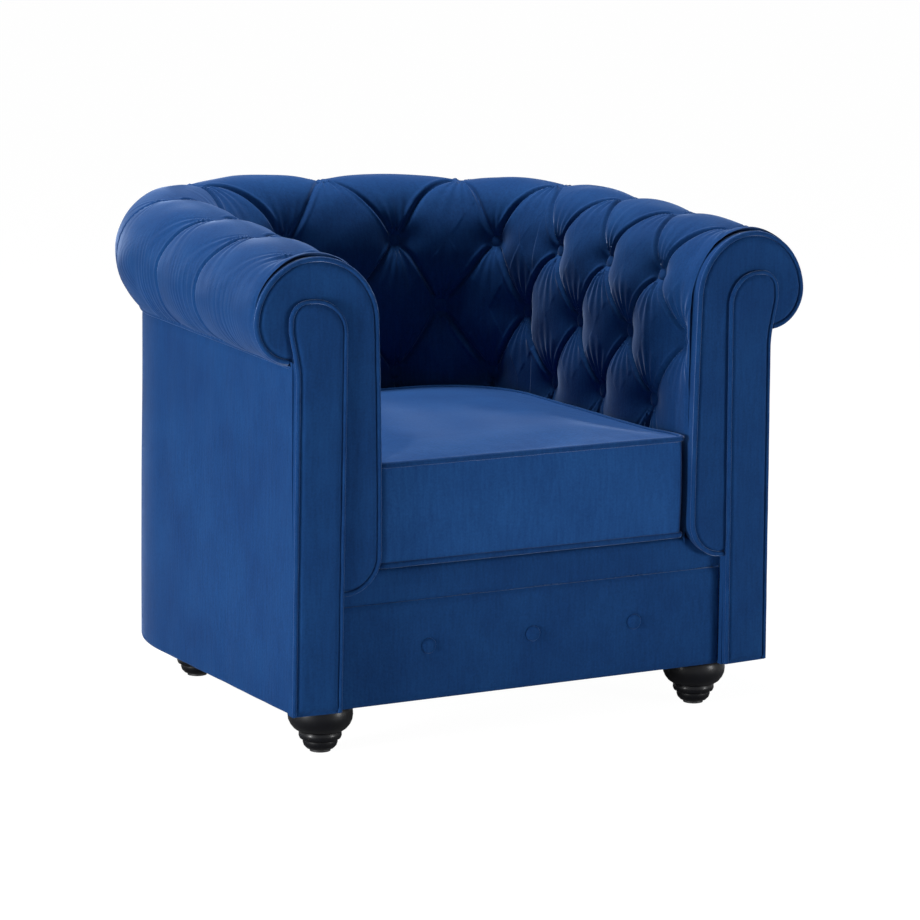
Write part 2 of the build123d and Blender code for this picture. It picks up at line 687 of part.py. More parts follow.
write(bent_rail((FRAME_INNER, FRAME_BOTTOM), (FRAME_OUTER, rail_top)), "rear_rail")
tack_top = PADDING_BOTTOM + TACK_RAIL_HEIGHT
write(bent_rail((TACK_INNER, PADDING_BOTTOM), (TACK_OUTER, tack_top)), "back_tack_rail")
write(bent_rail((TACK_INNER, top_rail_bottom), (ARM_RAIL_OUTER, top_rail_top)), "back_top_rail")

with BuildPart() as front_rail:
    box_between((-POST_INNER, RAIL_Y, FRAME_BOTTOM), (POST_INNER, RAIL_INNER_Y, FRONT_RAIL_TOP))
write(front_rail, "front_rail")

with BuildPart() as spring_rail:
    spring_low = (-FRAME_INNER, SPRING_RAIL_REAR - RAIL_THICKNESS, FRONT_RAIL_TOP - RAIL_HEIGHT)
    box_between(spring_low, (FRAME_INNER, SPRING_RAIL_REAR, FRONT_RAIL_TOP))
    extrude(tub_plan(FRAME_INNER, FRONT_Y), amount=DEPTH, mode=Mode.INTERSECT)
write(spring_rail, "spring_rail")

# ---------------------------------------------------------------- webbing behind the padding
strap_low = PADDING_BOTTOM + STRAP_SETBACK
with BuildPart() as webbing_straps:
    for index in range(ARM_STRAPS):
        y = CORNER_Y - (index + 0.5) * STRAP_PITCH
        strap_top = section_at(y)["middle"] - ARM_RAIL_BELOW_MIDDLE - STRAP_SETBACK
        strap_corner = (PADDING_BACK, y - STRAP_WIDTH / 2, strap_low)
        box_between(strap_corner, (TACK_INNER, y + STRAP_WIDTH / 2, strap_top))
    mirror(about=Plane.YZ)
    for x in (-BACK_STRAP_PITCH, 0.0, BACK_STRAP_PITCH):
        strap_corner = (x - STRAP_WIDTH / 2, BACK_SHIFT + PADDING_BACK, strap_low)
        box_between(
            strap_corner,
            (x + STRAP_WIDTH / 2, BACK_SHIFT + TACK_INNER, top_rail_top - STRAP_SETBACK),
        )
write(webbing_straps, "webbing_straps")

# ---------------------------------------------------------------- seat springs and deck
spring_front = RAIL_Y + RAIL_THICKNESS / 2
spring_rear = SPRING_RAIL_REAR - RAIL_THICKNESS / 2
spring_lines = [(index - (SPRING_COUNT - 1) / 2) * SPRING_PITCH for index in range(SPRING_COUNT)]
with BuildPart() as seat_springs:
    for x in spring_lines:
        corners = []
        for bar in range(SPRING_LOOPS + 1):
            y = spring_front + bar * (spring_rear - spring_front) / SPRING_LOOPS
            half = SPRING_LOOP_WIDTH / 2 if bar % 2 else -SPRING_LOOP_WIDTH / 2
            corners.append((x + half, y, SPRING_Z))
            corners.append((x - half, y, SPRING_Z))
        with BuildLine() as spring_line:
            FilletPolyline(*corners, radius=SPRING_BEND)
        add(tube(spring_line.wires()[0], SPRING_WIRE_RADIUS).part)
write(seat_springs, "seat_springs")

wire_room = SPRING_WIRE_RADIUS + FIT
with BuildPart() as spring_clips:
    for x in spring_lines:
        for y in (spring_front, spring_rear):
            clip_low = (x - CLIP_WIDTH / 2, y - CLIP_LENGTH / 2, FRONT_RAIL_TOP)
            box_between(clip_low, (x + CLIP_WIDTH / 2, y + CLIP_LENGTH / 2, CLOTH_Z))
            with Locations(Location((x, y, SPRING_Z), (0, 90, 0))):
                Cylinder(wire_room, CLIP_WIDTH, mode=Mode.SUBTRACT)
            slot_low = (x - CLIP_WIDTH / 2, y - wire_room, FRONT_RAIL_TOP)
            box_between(slot_low, (x + CLIP_WIDTH / 2, y + wire_room, SPRING_Z), mode=Mode.SUBTRACT)
write(spring_clips, "spring_clips")

with BuildPart() as deck_cloth:
    with BuildSketch(Plane.XY.offset(CLOTH_Z)):
        add(tub_plan(DECK_OUTER, RAIL_INNER_Y))
    extrude(amount=DECK_CLOTH)
write(deck_cloth, "deck_cloth")

with BuildPart() as deck_pad:
    with BuildSketch(Plane.XY.offset(CLOTH_Z + DECK_CLOTH)):
        add(tub_plan(DECK_OUTER, RAIL_INNER_Y))
    extrude(amount=DECK_PAD)
write(deck_pad, "deck_pad")

# ---------------------------------------------------------------- feet and what holds them
foot_places = {
    "front_left": (-FRONT_FOOT[0], FRONT_FOOT[1]),
    "front_right": FRONT_FOOT,
    "rear_left": (-REAR_FOOT[0], REAR_FOOT[1]),
    "rear_right": REAR_FOOT,
}
ring_z = FOOT_TOE_HEIGHT
bun_z = FOOT_TOE_HEIGHT + FOOT_RING_HEIGHT
band_z = bun_z - FOOT_RING_BAND
bun_middle = FOOT_HEIGHT - FOOT_BUN_DROP
ledge = FOOT_TOE_RADIUS + FOOT_STEP
for place, (x, y) in foot_places.items():
    with BuildPart() as foot:
        with BuildSketch(Plane(origin=(x, y, 0), x_dir=(1, 0, 0), z_dir=(0, -1, 0))):
            with BuildLine():
                Line((0, GLIDE_THICKNESS), (GLIDE_RADIUS, GLIDE_THICKNESS))
                TangentArc((FOOT_TOE_RADIUS, ring_z), (GLIDE_RADIUS, GLIDE_THICKNESS), tangent=(0, -1))
                Line((FOOT_TOE_RADIUS, ring_z), (ledge, ring_z))
                TangentArc((FOOT_RING_RADIUS, band_z), (ledge, ring_z), tangent=(0, -1))
                Line((FOOT_RING_RADIUS, band_z), (FOOT_RING_RADIUS, bun_z))
                TangentArc((FOOT_RADIUS, bun_middle), (FOOT_RING_RADIUS, bun_z), tangent=(0, -1))
                TangentArc((FOOT_RADIUS, bun_middle), (FOOT_NECK_RADIUS, FOOT_HEIGHT), tangent=(0, 1))
                Polyline((FOOT_NECK_RADIUS, FOOT_HEIGHT), (0, FOOT_HEIGHT), (0, GLIDE_THICKNESS))
            make_face()
        revolve(axis=Axis((x, y, 0), (0, 0, 1)))
        with Locations((x, y, FOOT_HEIGHT)):
            Hole(BOLT_RADIUS + FIT, depth=BOLT_DEPTH_IN_FOOT + FIT)
    write(foot, f"{place}_foot")

block_top = FRAME_BOTTOM + BLOCK_HEIGHT
with BuildPart() as foot_glides:
    with Locations(*((x, y, 0) for x, y in foot_places.values())):
        Cylinder(GLIDE_RADIUS, GLIDE_THICKNESS, align=(Align.CENTER, Align.CENTER, Align.MIN))
write(foot_glides, "foot_glides")

with BuildPart() as hanger_bolts:
    bolt_low = FOOT_HEIGHT - BOLT_DEPTH_IN_FOOT
    with Locations(*((x, y, bolt_low) for x, y in foot_places.values())):
        Cylinder(
            BOLT_RADIUS,
            block_top + TEE_NUT_FLANGE - bolt_low,
            align=(Align.CENTER, Align.CENTER, Align.MIN),
        )
write(hanger_bolts, "hanger_bolts")

with BuildPart() as tee_nuts:
    for x, y in foot_places.values():
        with Locations((x, y, block_top)):
            Cylinder(TEE_NUT_RADIUS, TEE_NUT_FLANGE, align=(Align.CENTER, Align.CENTER, Align.MIN))
            Cylinder(TEE_NUT_BARREL, TEE_NUT_BARREL_DEPTH, align=(Align.CENTER, Align.CENTER, Align.MAX))
        with Locations((x, y, block_top + TEE_NUT_FLANGE)):
            Hole(BOLT_RADIUS + FIT, depth=TEE_NUT_FLANGE + TEE_NUT_BARREL_DEPTH)
write(tee_nuts, "tee_nuts")

front_low = (FRAME_INNER - BLOCK_SIZE, RAIL_INNER_Y, FRAME_BOTTOM)
front_high = (FRAME_INNER, RAIL_INNER_Y + BLOCK_SIZE, block_top)
rear_low = (REAR_FOOT[0] - REAR_BLOCK_SIZE / 2, REAR_FOOT[1] - REAR_BLOCK_SIZE / 2, FRAME_BOTTOM)
rear_high = (REAR_FOOT[0] + REAR_BLOCK_SIZE / 2, REAR_FOOT[1] + REAR_BLOCK_SIZE / 2, block_top)
with BuildPart() as corner_blocks:
    box_between(front_low, front_high)
    box_between(rear_low, rear_high)
    mirror(about=Plane.YZ)
    extrude(tub_plan(FRAME_INNER, RAIL_INNER_Y), amount=DEPTH, mode=Mode.INTERSECT)
    with Locations(*((x, y, block_top) for x, y in foot_places.values())):
        CounterBoreHole(BOLT_RADIUS + FIT, TEE_NUT_BARREL + FIT, TEE_NUT_BARREL_DEPTH, depth=BLOCK_HEIGHT)
write(corner_blocks, "corner_blocks")

with BuildPart() as dust_cover:
    with BuildSketch(Plane.XY.offset(FOOT_HEIGHT)):
        add(tub_plan(FRAME_OUTER, RAIL_Y))
        with Locations(*foot_places.values()):
            Circle(BOLT_RADIUS + FIT, mode=Mode.SUBTRACT)
    extrude(amount=DUST_COVER)
    box_between((POST_INNER, FRONT_Y, 0), (WALL_HALF_WIDTH, BOARD_REAR_Y, FRAME_BOTTOM), mode=Mode.SUBTRACT)
    box_between(
        (-WALL_HALF_WIDTH, FRONT_Y, 0),
        (-POST_INNER, BOARD_REAR_Y, FRAME_BOTTOM),
        mode=Mode.SUBTRACT,
    )
write(dust_cover, "dust_cover")

with BuildPart() as wood_screw:
    Cylinder(SCREW_RADIUS, SCREW_LENGTH, align=(Align.CENTER, Align.CENTER, Align.MAX))
    Cylinder(SCREW_HEAD_RADIUS, SCREW_HEAD_HEIGHT, align=(Align.CENTER, Align.CENTER, Align.MAX))
with BuildPart() as frame_screws:
    with Locations(*(plane.location for plane in screw_planes)):
        add(wood_screw.part)
    mirror(about=Plane.YZ)
write(frame_screws, "frame_screws")


# ---------------------------------------------------------------- loose seat cushion
def cushion_edge():
    """Plan outline of the cushion: it follows the padding's inside face with a gap."""
    front = FRONT_Y + CUSHION_FRONT_SETBACK
    wide = FACING_INNER - CUSHION_SIDE_GAP
    narrow = SEAT_HALF_WIDTH - CUSHION_SIDE_GAP
    radius = narrow - CORNER_X
    turn = CORNER_Y - CUSHION_REAR_GAP
    corner = CUSHION_FRONT_RADIUS
    taper_front = WALL_Y + SEAT_TAPER_START - CUSHION_TAPER_LEAD
    taper_back = taper_front + SEAT_TAPER_LENGTH
    middle = ((wide + narrow) / 2, (taper_front + taper_back) / 2)
    Line((corner - wide, front), (wide - corner, front))
    for side in (1, -1):
        TangentArc((side * (wide - corner), front), (side * wide, front + corner), tangent=(side, 0))
        Line((side * wide, front + corner), (side * wide, taper_front))
        TangentArc((side * wide, taper_front), (side * middle[0], middle[1]), tangent=(0, 1))
        TangentArc((side * narrow, taper_back), (side * middle[0], middle[1]), tangent=(0, -1))
        Line((side * narrow, taper_back), (side * narrow, turn))
        TangentArc((side * narrow, turn), (side * CORNER_X, turn + radius), tangent=(0, 1))
    Line((-CORNER_X, turn + radius), (CORNER_X, turn + radius))


def cushion_sketch(z, inset):
    """Cushion's plan at height z, drawn inset from its outline."""
    with BuildSketch(Plane.XY.offset(z)) as plan:
        with BuildLine():
            cushion_edge()
        make_face()
        if inset:
            offset(amount=-inset, mode=Mode.REPLACE)
    return plan.sketch


def cushion_solid(inset, skin):
    """Crowned block of the cushion: inset from its outline in plan, skin under its faces in height."""
    bottom = CUSHION_BOTTOM + skin
    top = CUSHION_BOTTOM + CUSHION_HEIGHT - skin
    with BuildPart() as block:
        extrude(cushion_sketch(bottom, inset), amount=top - bottom)
        crown = [
            cushion_sketch(top, inset + CROWN_START),
            cushion_sketch(top + CUSHION_CROWN, inset + CROWN_END),
        ]
        loft(crown, ruled=True)
    return block


piping_levels = {
    "bottom": CUSHION_BOTTOM + CUSHION_PIPING_RADIUS,
    "top": CUSHION_BOTTOM + CUSHION_HEIGHT - CUSHION_PIPING_RADIUS,
}
pipings = {}
for level, z in piping_levels.items():
    piping_path = cushion_sketch(z, CUSHION_PIPING_RADIUS).face().outer_wire()
    pipings[level] = tube(piping_path, CUSHION_PIPING_RADIUS)
    write(pipings[level], f"cushion_{level}_piping")

core_inset = CUSHION_PIPING_RADIUS + COVER_THICKNESS
core = cushion_solid(2 * core_inset, COVER_THICKNESS)
write(core, "cushion_core")

with BuildPart() as cushion_cover:
    add(cushion_solid(CUSHION_PIPING_RADIUS, 0).part)
    add(core.part, mode=Mode.SUBTRACT)
    for piping in pipings.values():
        add(piping.part, mode=Mode.SUBTRACT)
write(cushion_cover, "cushion_cover")

with BuildPart() as cushion_zip:
    cushion_reach = SEAT_HALF_WIDTH - CUSHION_SIDE_GAP - CUSHION_PIPING_RADIUS
    zip_y = CORNER_Y - CUSHION_REAR_GAP + cushion_reach - CORNER_X
    zip_z = CUSHION_BOTTOM + CUSHION_HEIGHT / 2
    zip_low = (-ZIP_LENGTH / 2, zip_y, zip_z - ZIP_WIDTH / 2)
    box_between(zip_low, (ZIP_LENGTH / 2, zip_y + ZIP_THICKNESS, zip_z + ZIP_WIDTH / 2))
write(cushion_zip, "cushion_zip")
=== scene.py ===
"""Deep-buttoned velvet tub armchair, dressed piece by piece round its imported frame.

Metres, +Z up. X runs across the chair and the open front faces -Y. The wall of the tub is one
cross-section that follows a U: places in it are given by n, the distance from the middle of the
seat outwards as it is on a straight arm, and places along it by run, from the front end of the
right arm round the back to the front end of the left arm.
"""

import json
import logging
import math
from collections.abc import Callable
from dataclasses import dataclass, field
from enum import Enum

import bmesh
import bpy
import numpy as np
from mathutils import Matrix, Vector


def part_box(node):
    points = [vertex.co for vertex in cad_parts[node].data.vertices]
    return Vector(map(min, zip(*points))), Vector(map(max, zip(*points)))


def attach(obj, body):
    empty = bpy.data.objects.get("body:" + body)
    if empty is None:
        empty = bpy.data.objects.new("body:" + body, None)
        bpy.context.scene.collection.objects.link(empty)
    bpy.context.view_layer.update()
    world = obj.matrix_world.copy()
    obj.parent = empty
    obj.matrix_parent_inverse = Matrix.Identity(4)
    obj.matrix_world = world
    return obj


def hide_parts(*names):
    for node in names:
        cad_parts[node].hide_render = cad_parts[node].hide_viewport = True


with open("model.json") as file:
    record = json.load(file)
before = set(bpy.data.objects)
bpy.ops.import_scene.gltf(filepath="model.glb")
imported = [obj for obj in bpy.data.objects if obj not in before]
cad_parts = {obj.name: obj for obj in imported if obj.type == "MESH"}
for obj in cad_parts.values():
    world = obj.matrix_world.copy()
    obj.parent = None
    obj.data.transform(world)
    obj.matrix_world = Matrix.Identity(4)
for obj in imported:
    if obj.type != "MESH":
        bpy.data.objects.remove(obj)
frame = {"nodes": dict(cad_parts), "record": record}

LOG = logging.getLogger("armchair")
Array = np.ndarray
Point = tuple[float, float]
Triple = tuple[float, float, float]
Socket = bpy.types.NodeSocket
CHAIR = "chair"
CUSHION = "seat_cushion"
SIDES = {"left": -1, "right": 1}
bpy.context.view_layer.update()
MIX_A, MIX_B = 6, 7  # colour sockets of the mix node
WELD = 1e-6
CORD_CELLS = 12
BUTTON_RADIUS = 0.0114
BUTTON_CELLS = 24
BUTTON_DOME = ((0.55, 0.0), (0.9, 0.06), (1.0, 0.2), (0.99, 0.34), (0.9, 0.47), (0.7, 0.57), (0.4, 0.63))
BUTTON_CROWN = 0.65


# ---------------------------------------------------------------- nodes and finishes
def linear(hex_colour: str) -> tuple[float, float, float, float]:
    """Turns an sRGB hex colour to linear RGBA.

    Args:
        hex_colour: Colour such as "#1d3f74".

    Returns:
        Linear red, green, blue and an alpha of 1.
    """
    parts = [int(hex_colour[index : index + 2], 16) / 255 for index in (1, 3, 5)]
    scaled = [part / 12.92 if part <= 0.04045 else ((part + 0.055) / 1.055) ** 2.4 for part in parts]
    return (*scaled, 1.0)


def grey(level: float) -> tuple[float, float, float, float]:
    """Gives a linear grey."""
    return level, level, level, 1.0


def add_node(
    tree: bpy.types.NodeTree,
    kind: str,
    settings: dict[str, object] | None = None,
    links: dict[str | int, Socket] | None = None,
) -> bpy.types.Node:
    """Adds a node, sets its sockets or properties by name, and links its inputs.

    Args:
        tree: Node tree that gets the node.
        kind: Node type, such as "ShaderNodeBump".
        settings: Input or property names with their values.
        links: Input names or numbers with the sockets that feed them.

    Returns:
        The new node.
    """
    node = tree.nodes.new(kind)
    for name, value in (settings or {}).items():
        if hasattr(node, name) and name not in node.inputs:
            setattr(node, name, value)
        else:
            node.inputs[name].default_value = value
    for name, socket in (links or {}).items():
        tree.links.new(socket, node.inputs[name])
    return node


def new_material(name: str) -> tuple[bpy.types.Material, bpy.types.NodeTree]:
    """Makes an empty node material.

    Args:
        name: Name of the material.

    Returns:
        The material and its node tree.
    """
    material = bpy.data.materials.new(name)
    material.use_nodes = True
    material.node_tree.nodes.clear()
    return material, material.node_tree


def spread_noise(
    tree: bpy.types.NodeTree, size: float, detail: float, stretch: Triple = (1.0, 1.0, 1.0)
) -> Socket:
    """Spreads an even noise over a piece, in its own coordinates.

    Args:
        tree: Node tree of the material.
        size: Size of the noise's cells, in metres.
        detail: How many finer layers it carries.
        stretch: Scale on each axis; a low one draws the noise out along that axis.

    Returns:
        The noise, from 0 to 1.
    """
    place = add_node(tree, "ShaderNodeTexCoord").outputs["Object"]
    turned = add_node(tree, "ShaderNodeMapping", {"Scale": stretch}, {"Vector": place})
    settings = {"Scale": 1 / size, "Detail": detail}
    return add_node(tree, "ShaderNodeTexNoise", settings, {"Vector": turned.outputs[0]}).outputs["Fac"]


def mix_tones(tree: bpy.types.NodeTree, share: Socket, first: str, second: str) -> Socket:
    """Mixes two sRGB hex colours by a share.

    Args:
        tree: Node tree of the material.
        share: Share of the second colour.
        first: Colour at 0, such as "#1d3f74".
        second: Colour at 1.

    Returns:
        The mixed colour.
    """
    tone = add_node(tree, "ShaderNodeMix", {"data_type": "RGBA"}, {"Factor": share})
    tone.inputs[MIX_A].default_value = linear(first)
    tone.inputs[MIX_B].default_value = linear(second)
    return tone.outputs[2]


def lay_surface(
    tree: bpy.types.NodeTree,
    settings: dict[str, object],
    colour: Socket,
    height: Socket,
    strength: float,
    depth: float,
) -> None:
    """Lays the shader and its bump, and sends it to the material's output.

    Args:
        tree: Node tree of the material.
        settings: Values of the shader's sockets.
        colour: Base colour.
        height: Height that the bump follows.
        strength: Strength of the bump.
        depth: Real depth of the bump, in metres.
    """
    bump = add_node(tree, "ShaderNodeBump", {"Strength": strength, "Distance": depth}, {"Height": height})
    links = {"Base Color": colour, "Normal": bump.outputs[0]}
    shader = add_node(tree, "ShaderNodeBsdfPrincipled", settings, links)
    add_node(tree, "ShaderNodeOutputMaterial", links={"Surface": shader.outputs[0]})


@dataclass(frozen=True)
class Velvet:
    """Short-pile polyester velvet: a dark face whose tips catch light at a grazing angle."""

    name: str
    slot: str
    deep: str = "#0f2e5a"
    brushed: str = "#153a69"
    sheen_tint: str = "#9fb4d8"
    sheen: float = 0.50
    sheen_roughness: float = 0.30
    roughness: float = 0.82
    brush_size: float = 0.09
    brush_raggedness: float = 0.55
    brush_range: tuple[float, float] = (0.20, 0.85)
    pile_size: float = 0.0011
    pile_depth: float = 0.0005
    speckle_piles: float = 1 / 0.35
    streak_piles: float = 4.0
    streak_stretch: float = 0.12
    grain_share: float = 0.5
    gloss: float = 0.04

    def build(self) -> bpy.types.Material:
        """Builds the material: brushed patches in the colour, pile and faint weave lines in the bump.

        Returns:
            The material.
        """
        material, tree = new_material(self.name)
        brushed = spread_noise(tree, self.brush_size, 3.0)
        brushed.node.inputs["Roughness"].default_value = self.brush_raggedness
        speckle = spread_noise(tree, self.pile_size * self.speckle_piles, 2.0)
        drawn_out = (1.0, 1.0, self.streak_stretch)
        streaks = spread_noise(tree, self.pile_size * self.streak_piles, 3.0, drawn_out)
        limits = dict(zip(("From Min", "From Max"), self.brush_range))
        patches = add_node(tree, "ShaderNodeMapRange", limits, {"Value": brushed})
        colour = mix_tones(tree, patches.outputs[0], self.deep, self.brushed)
        mixed = add_node(tree, "ShaderNodeMath", {"operation": "ADD"}, {0: speckle, 1: streaks})
        halved = add_node(tree, "ShaderNodeMath", {"operation": "MULTIPLY"}, {0: mixed.outputs[0]})
        halved.inputs[1].default_value = 0.5
        grain = add_node(
            tree,
            "ShaderNodeMix",
            {"data_type": "RGBA", "blend_type": "SOFT_LIGHT"},
            {MIX_A: colour, MIX_B: halved.outputs[0]},
        )
        grain.inputs["Factor"].default_value = self.grain_share
        settings = {
            "Roughness": self.roughness,
            "Sheen Weight": self.sheen,
            "Sheen Roughness": self.sheen_roughness,
            "Sheen Tint": linear(self.sheen_tint),
            "Specular IOR Level": self.gloss,
        }
        lay_surface(tree, settings, grain.outputs[2], mixed.outputs[0], 0.35, self.pile_depth)
        return material


@dataclass(frozen=True)
class Lacquer:
    """Turned hardwood under black lacquer: the grain is sunk under a satin coat."""

    name: str
    slot: str
    colour: str = "#030408"
    worn: str = "#08090e"
    grain_width: float = 0.004
    roughness: float = 0.45
    gloss: float = 0.15
    coat: float = 0.14
    coat_roughness: float = 0.22

    def build(self) -> bpy.types.Material:
        """Builds the material: near-black base, faint stretched grain in colour and bump, and a coat.

        Returns:
            The material.
        """
        material, tree = new_material(self.name)
        grain = spread_noise(tree, self.grain_width, 4.0, (1.0, 1.0, 0.15))
        tone = mix_tones(tree, grain, self.colour, self.worn)
        settings = {
            "Roughness": self.roughness,
            "Specular IOR Level": self.gloss,
            "Coat Weight": self.coat,
            "Coat Roughness": self.coat_roughness,
        }
        lay_surface(tree, settings, tone, grain, 0.2, 0.0002)
        return material


@dataclass(frozen=True)
class Raw:
    """Plain finish of a piece inside the chair: one colour with the unevenness of its making."""

    name: str
    slot: str
    light: str
    dark: str
    roughness: float
    grain: Triple = (1.0, 1.0, 1.0)
    grain_width: float = 0.01
    metallic: float = 0.0

    def build(self) -> bpy.types.Material:
        """Builds the material: two tones mixed along the grain, and a little bump.

        Returns:
            The material.
        """
        material, tree = new_material(self.name)
        grain = spread_noise(tree, self.grain_width, 4.0, self.grain)
        tone = mix_tones(tree, grain, self.dark, self.light)
        settings = {"Roughness": self.roughness, "Metallic": self.metallic}
        lay_surface(tree, settings, tone, grain, 0.3, 0.0003)
        return material


class Finish(Enum):
    """Finishes of the chair, each with the record's slot that it stands for."""

    # Short pile, brushed by hands: cloudy patches, dark where it faces the eye and pale on turned edges.
    VELVET = Velvet("pile_velvet", "velvet")
    # The same cloth as a lit copy with painted light: its base colour is raised a shade, so the seat reads
    # a shade lighter, as the light from above makes it.
    CUSHION = Velvet("cushion_velvet_painted_light", "velvet", deep="#163a6c", brushed="#1c4478", sheen=0.7)
    # Cut on the bias and pulled tight over a cord: the pile opens and a bright ridge runs along it.
    PIPING = Velvet("piping_velvet", "velvet_piping", sheen=0.9, brush_size=0.03)
    # Pressed over a metal cap: even, with small patches, since the cloth is stretched smooth.
    BUTTON = Velvet("button_velvet", "velvet_buttons", sheen=0.5, brush_size=0.02)
    # Turned on a lathe, stained and lacquered black: soft satin lights round each ring, grain barely seen.
    TURNED = Lacquer("lacquered_wood", "turned_wood")
    # Sawn and left bare: matt, pale, with streaks of grain along the plank.
    TIMBER = Raw("sawn_timber", "frame_timber", "#cda574", "#a87f4f", 0.7, (1.0, 0.08, 1.0), 0.006)
    # Cut from a block: fine open cells, quite matt.
    FOAM = Raw("foam", "foam", "#e8ddb0", "#dccf9c", 0.9, grain_width=0.002)
    # Carded fibre: white and cloudy, no gloss.
    WADDING = Raw("wadding", "wadding", "#eeece6", "#dedbd2", 0.95, grain_width=0.004)
    # Pressed fibre sheet: near black, with a fine even fleck.
    LINING = Raw("nonwoven_lining", "lining", "#1b1b1f", "#101014", 0.9, grain_width=0.002)
    # Woven jute band: brown with rows of weft.
    WEBBING = Raw("woven_webbing", "webbing", "#5a5044", "#3b342b", 0.85, (1.0, 1.0, 0.2), 0.003)
    # Drawn and oil-tempered wire: dark grey metal with a low gloss.
    WIRE = Raw("oiled_wire", "spring_steel", "#6d6d70", "#56565a", 0.4, grain_width=0.01, metallic=1.0)
    # Zinc plating: light grey metal, a little cloudy.
    ZINC = Raw("zinc_plate", "zinc_steel", "#b5b5b0", "#9c9c98", 0.35, grain_width=0.01, metallic=1.0)
    # Moulded nylon coil dyed to the cloth: smooth, with a slight gloss.
    ZIP = Raw("nylon_zip", "zip", "#14264a", "#0c1a36", 0.5, grain_width=0.001)
    # Moulded nylon: plain black with a slight gloss.
    GLIDE = Raw("nylon_glide", "glide", "#222225", "#18181a", 0.5, grain_width=0.004)

    def material(self) -> bpy.types.Material:
        """Gives the finish's material, made the first time that it is asked for."""
        return bpy.data.materials.get(self.value.name) or self.value.build()


# ---------------------------------------------------------------- making pieces
def finish_piece(
    made: bmesh.types.BMesh, name: str, finish: Finish, sharp: float = math.radians(38.0)
) -> bpy.types.Object:
    """Turns a closed bmesh into a named, smooth-shaded object with its finish.

    Args:
        made: Mesh in the chair's frame; it is freed.
        name: Name of the piece.
        finish: Its finish.
        sharp: Angle above which an edge stays crisp.

    Returns:
        The object, linked to the scene.
    """
    bmesh.ops.recalc_face_normals(made, faces=made.faces)
    mesh = bpy.data.meshes.new(name)
    made.to_mesh(mesh)
    made.free()
    mesh.shade_smooth()
    mesh.set_sharp_from_angle(angle=sharp)
    mesh.materials.append(finish.material())
    piece = bpy.data.objects.new(name, mesh)
    bpy.context.scene.collection.objects.link(piece)
    return piece


def dress(piece: bpy.types.Object, body: str, *nodes: str, fill: float | None = None) -> bpy.types.Object:
    """Lets a piece ride on its body and stand for CAD nodes.

    Args:
        piece: Finished piece.
        body: CAD body that it moves with.
        nodes: CAD nodes that it stands for.
        fill: Tightness of a padded piece, or None; not used.

    Returns:
        The same piece.
    """
    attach(piece, body)
    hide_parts(*nodes)
    LOG.info("%s stands for %s", piece.name, ", ".join(nodes))
    return piece


def vertex_places(made: bmesh.types.BMesh) -> Array:
    """Gives a bmesh's vertex coordinates as an array of rows."""
    return np.array([vertex.co for vertex in made.verts])


def move_vertices(made: bmesh.types.BMesh, places: Array) -> None:
    """Moves each vertex of a bmesh to its row of an array."""
    for vertex, place in zip(made.verts, places.tolist()):
        vertex.co = place


def wrapped_grid(
    columns: int, rows: int, lay: Callable[[Array, Array], Array], ring: bool = False
) -> bmesh.types.BMesh:
    """Lays a grid of cloth along a path.

    Args:
        columns: Cells along the path.
        rows: Cells across it.
        lay: Gives the places of the shares (0 to 1) along and across.
        ring: Whether the path closes on itself; an open one gets caps.

    Returns:
        A closed tube whose first and last rows are merged.
    """
    made = bmesh.new()
    bmesh.ops.create_grid(made, x_segments=columns, y_segments=rows, size=0.5)
    shares = vertex_places(made)[:, :2] + 0.5
    move_vertices(made, lay(shares[:, 0], shares[:, 1]))
    bmesh.ops.remove_doubles(made, verts=made.verts, dist=WELD)
    if not ring:
        rims = [edge for edge in made.edges if edge.is_boundary]
        bmesh.ops.holes_fill(made, edges=rims, sides=0)
    return made


def in_fixed_order(made: bmesh.types.BMesh) -> bmesh.types.BMesh:
    """Rebuilds a mesh in an order that follows from its places alone, so that every run gives the same.

    Args:
        made: Mesh whose vertices and faces may come in any order; it is freed.

    Returns:
        The same mesh in its fixed order.
    """
    made.verts.index_update()
    places = vertex_places(made)
    order = np.lexsort(np.round(places, 6).T)
    rank = np.argsort(order)
    faces = []
    for face in made.faces:
        corners = [int(rank[vertex.index]) for vertex in face.verts]
        first = corners.index(min(corners))
        faces.append(corners[first:] + corners[:first])
    made.free()
    mesh = bpy.data.meshes.new("ordered")
    mesh.from_pydata(places[order].tolist(), [], sorted(faces))
    ordered = bmesh.new()
    ordered.from_mesh(mesh)
    bpy.data.meshes.remove(mesh)
    return ordered


def slice_along(
    made: bmesh.types.BMesh, axis: int, start: float, stop: float, cell: float, weld: float
) -> None:
    """Cuts a mesh into even slices across an axis.

    Args:
        made: Mesh to cut.
        axis: 0, 1 or 2 for x, y or z.
        start: First end of the slices.
        stop: Last end of the slices.
        cell: Wanted thickness of a slice.
        weld: Distance within which a cut keeps to a vertex.
    """
    normal = [float(number == axis) for number in range(3)]
    for mark in np.linspace(start, stop, round((stop - start) / cell) + 1)[1:-1]:
        spot = [float(mark) * share for share in normal]
        parts = [*made.verts, *made.edges, *made.faces]
        bmesh.ops.bisect_plane(made, geom=parts, plane_co=spot, plane_no=normal, dist=weld)


def spin_round(made: bmesh.types.BMesh, drawn: list[bmesh.types.BMVert], middle: Point, steps: int) -> None:
    """Turns a drawn line once round an upright axis.

    Args:
        made: Mesh that is worked on.
        drawn: Vertices and edges of the line.
        middle: x and y of the axis.
        steps: Cells round the axis.
    """
    cent = (*middle, 0)
    bmesh.ops.spin(
        made, geom=drawn, cent=cent, axis=(0, 0, 1), steps=steps, angle=2 * math.pi, use_merge=True
    )


def smooth_step(value: Array) -> Array:
    """Eases a share from 0 to 1, held outside that range."""
    held = np.clip(value, 0.0, 1.0)
    return held * held * (3 - 2 * held)


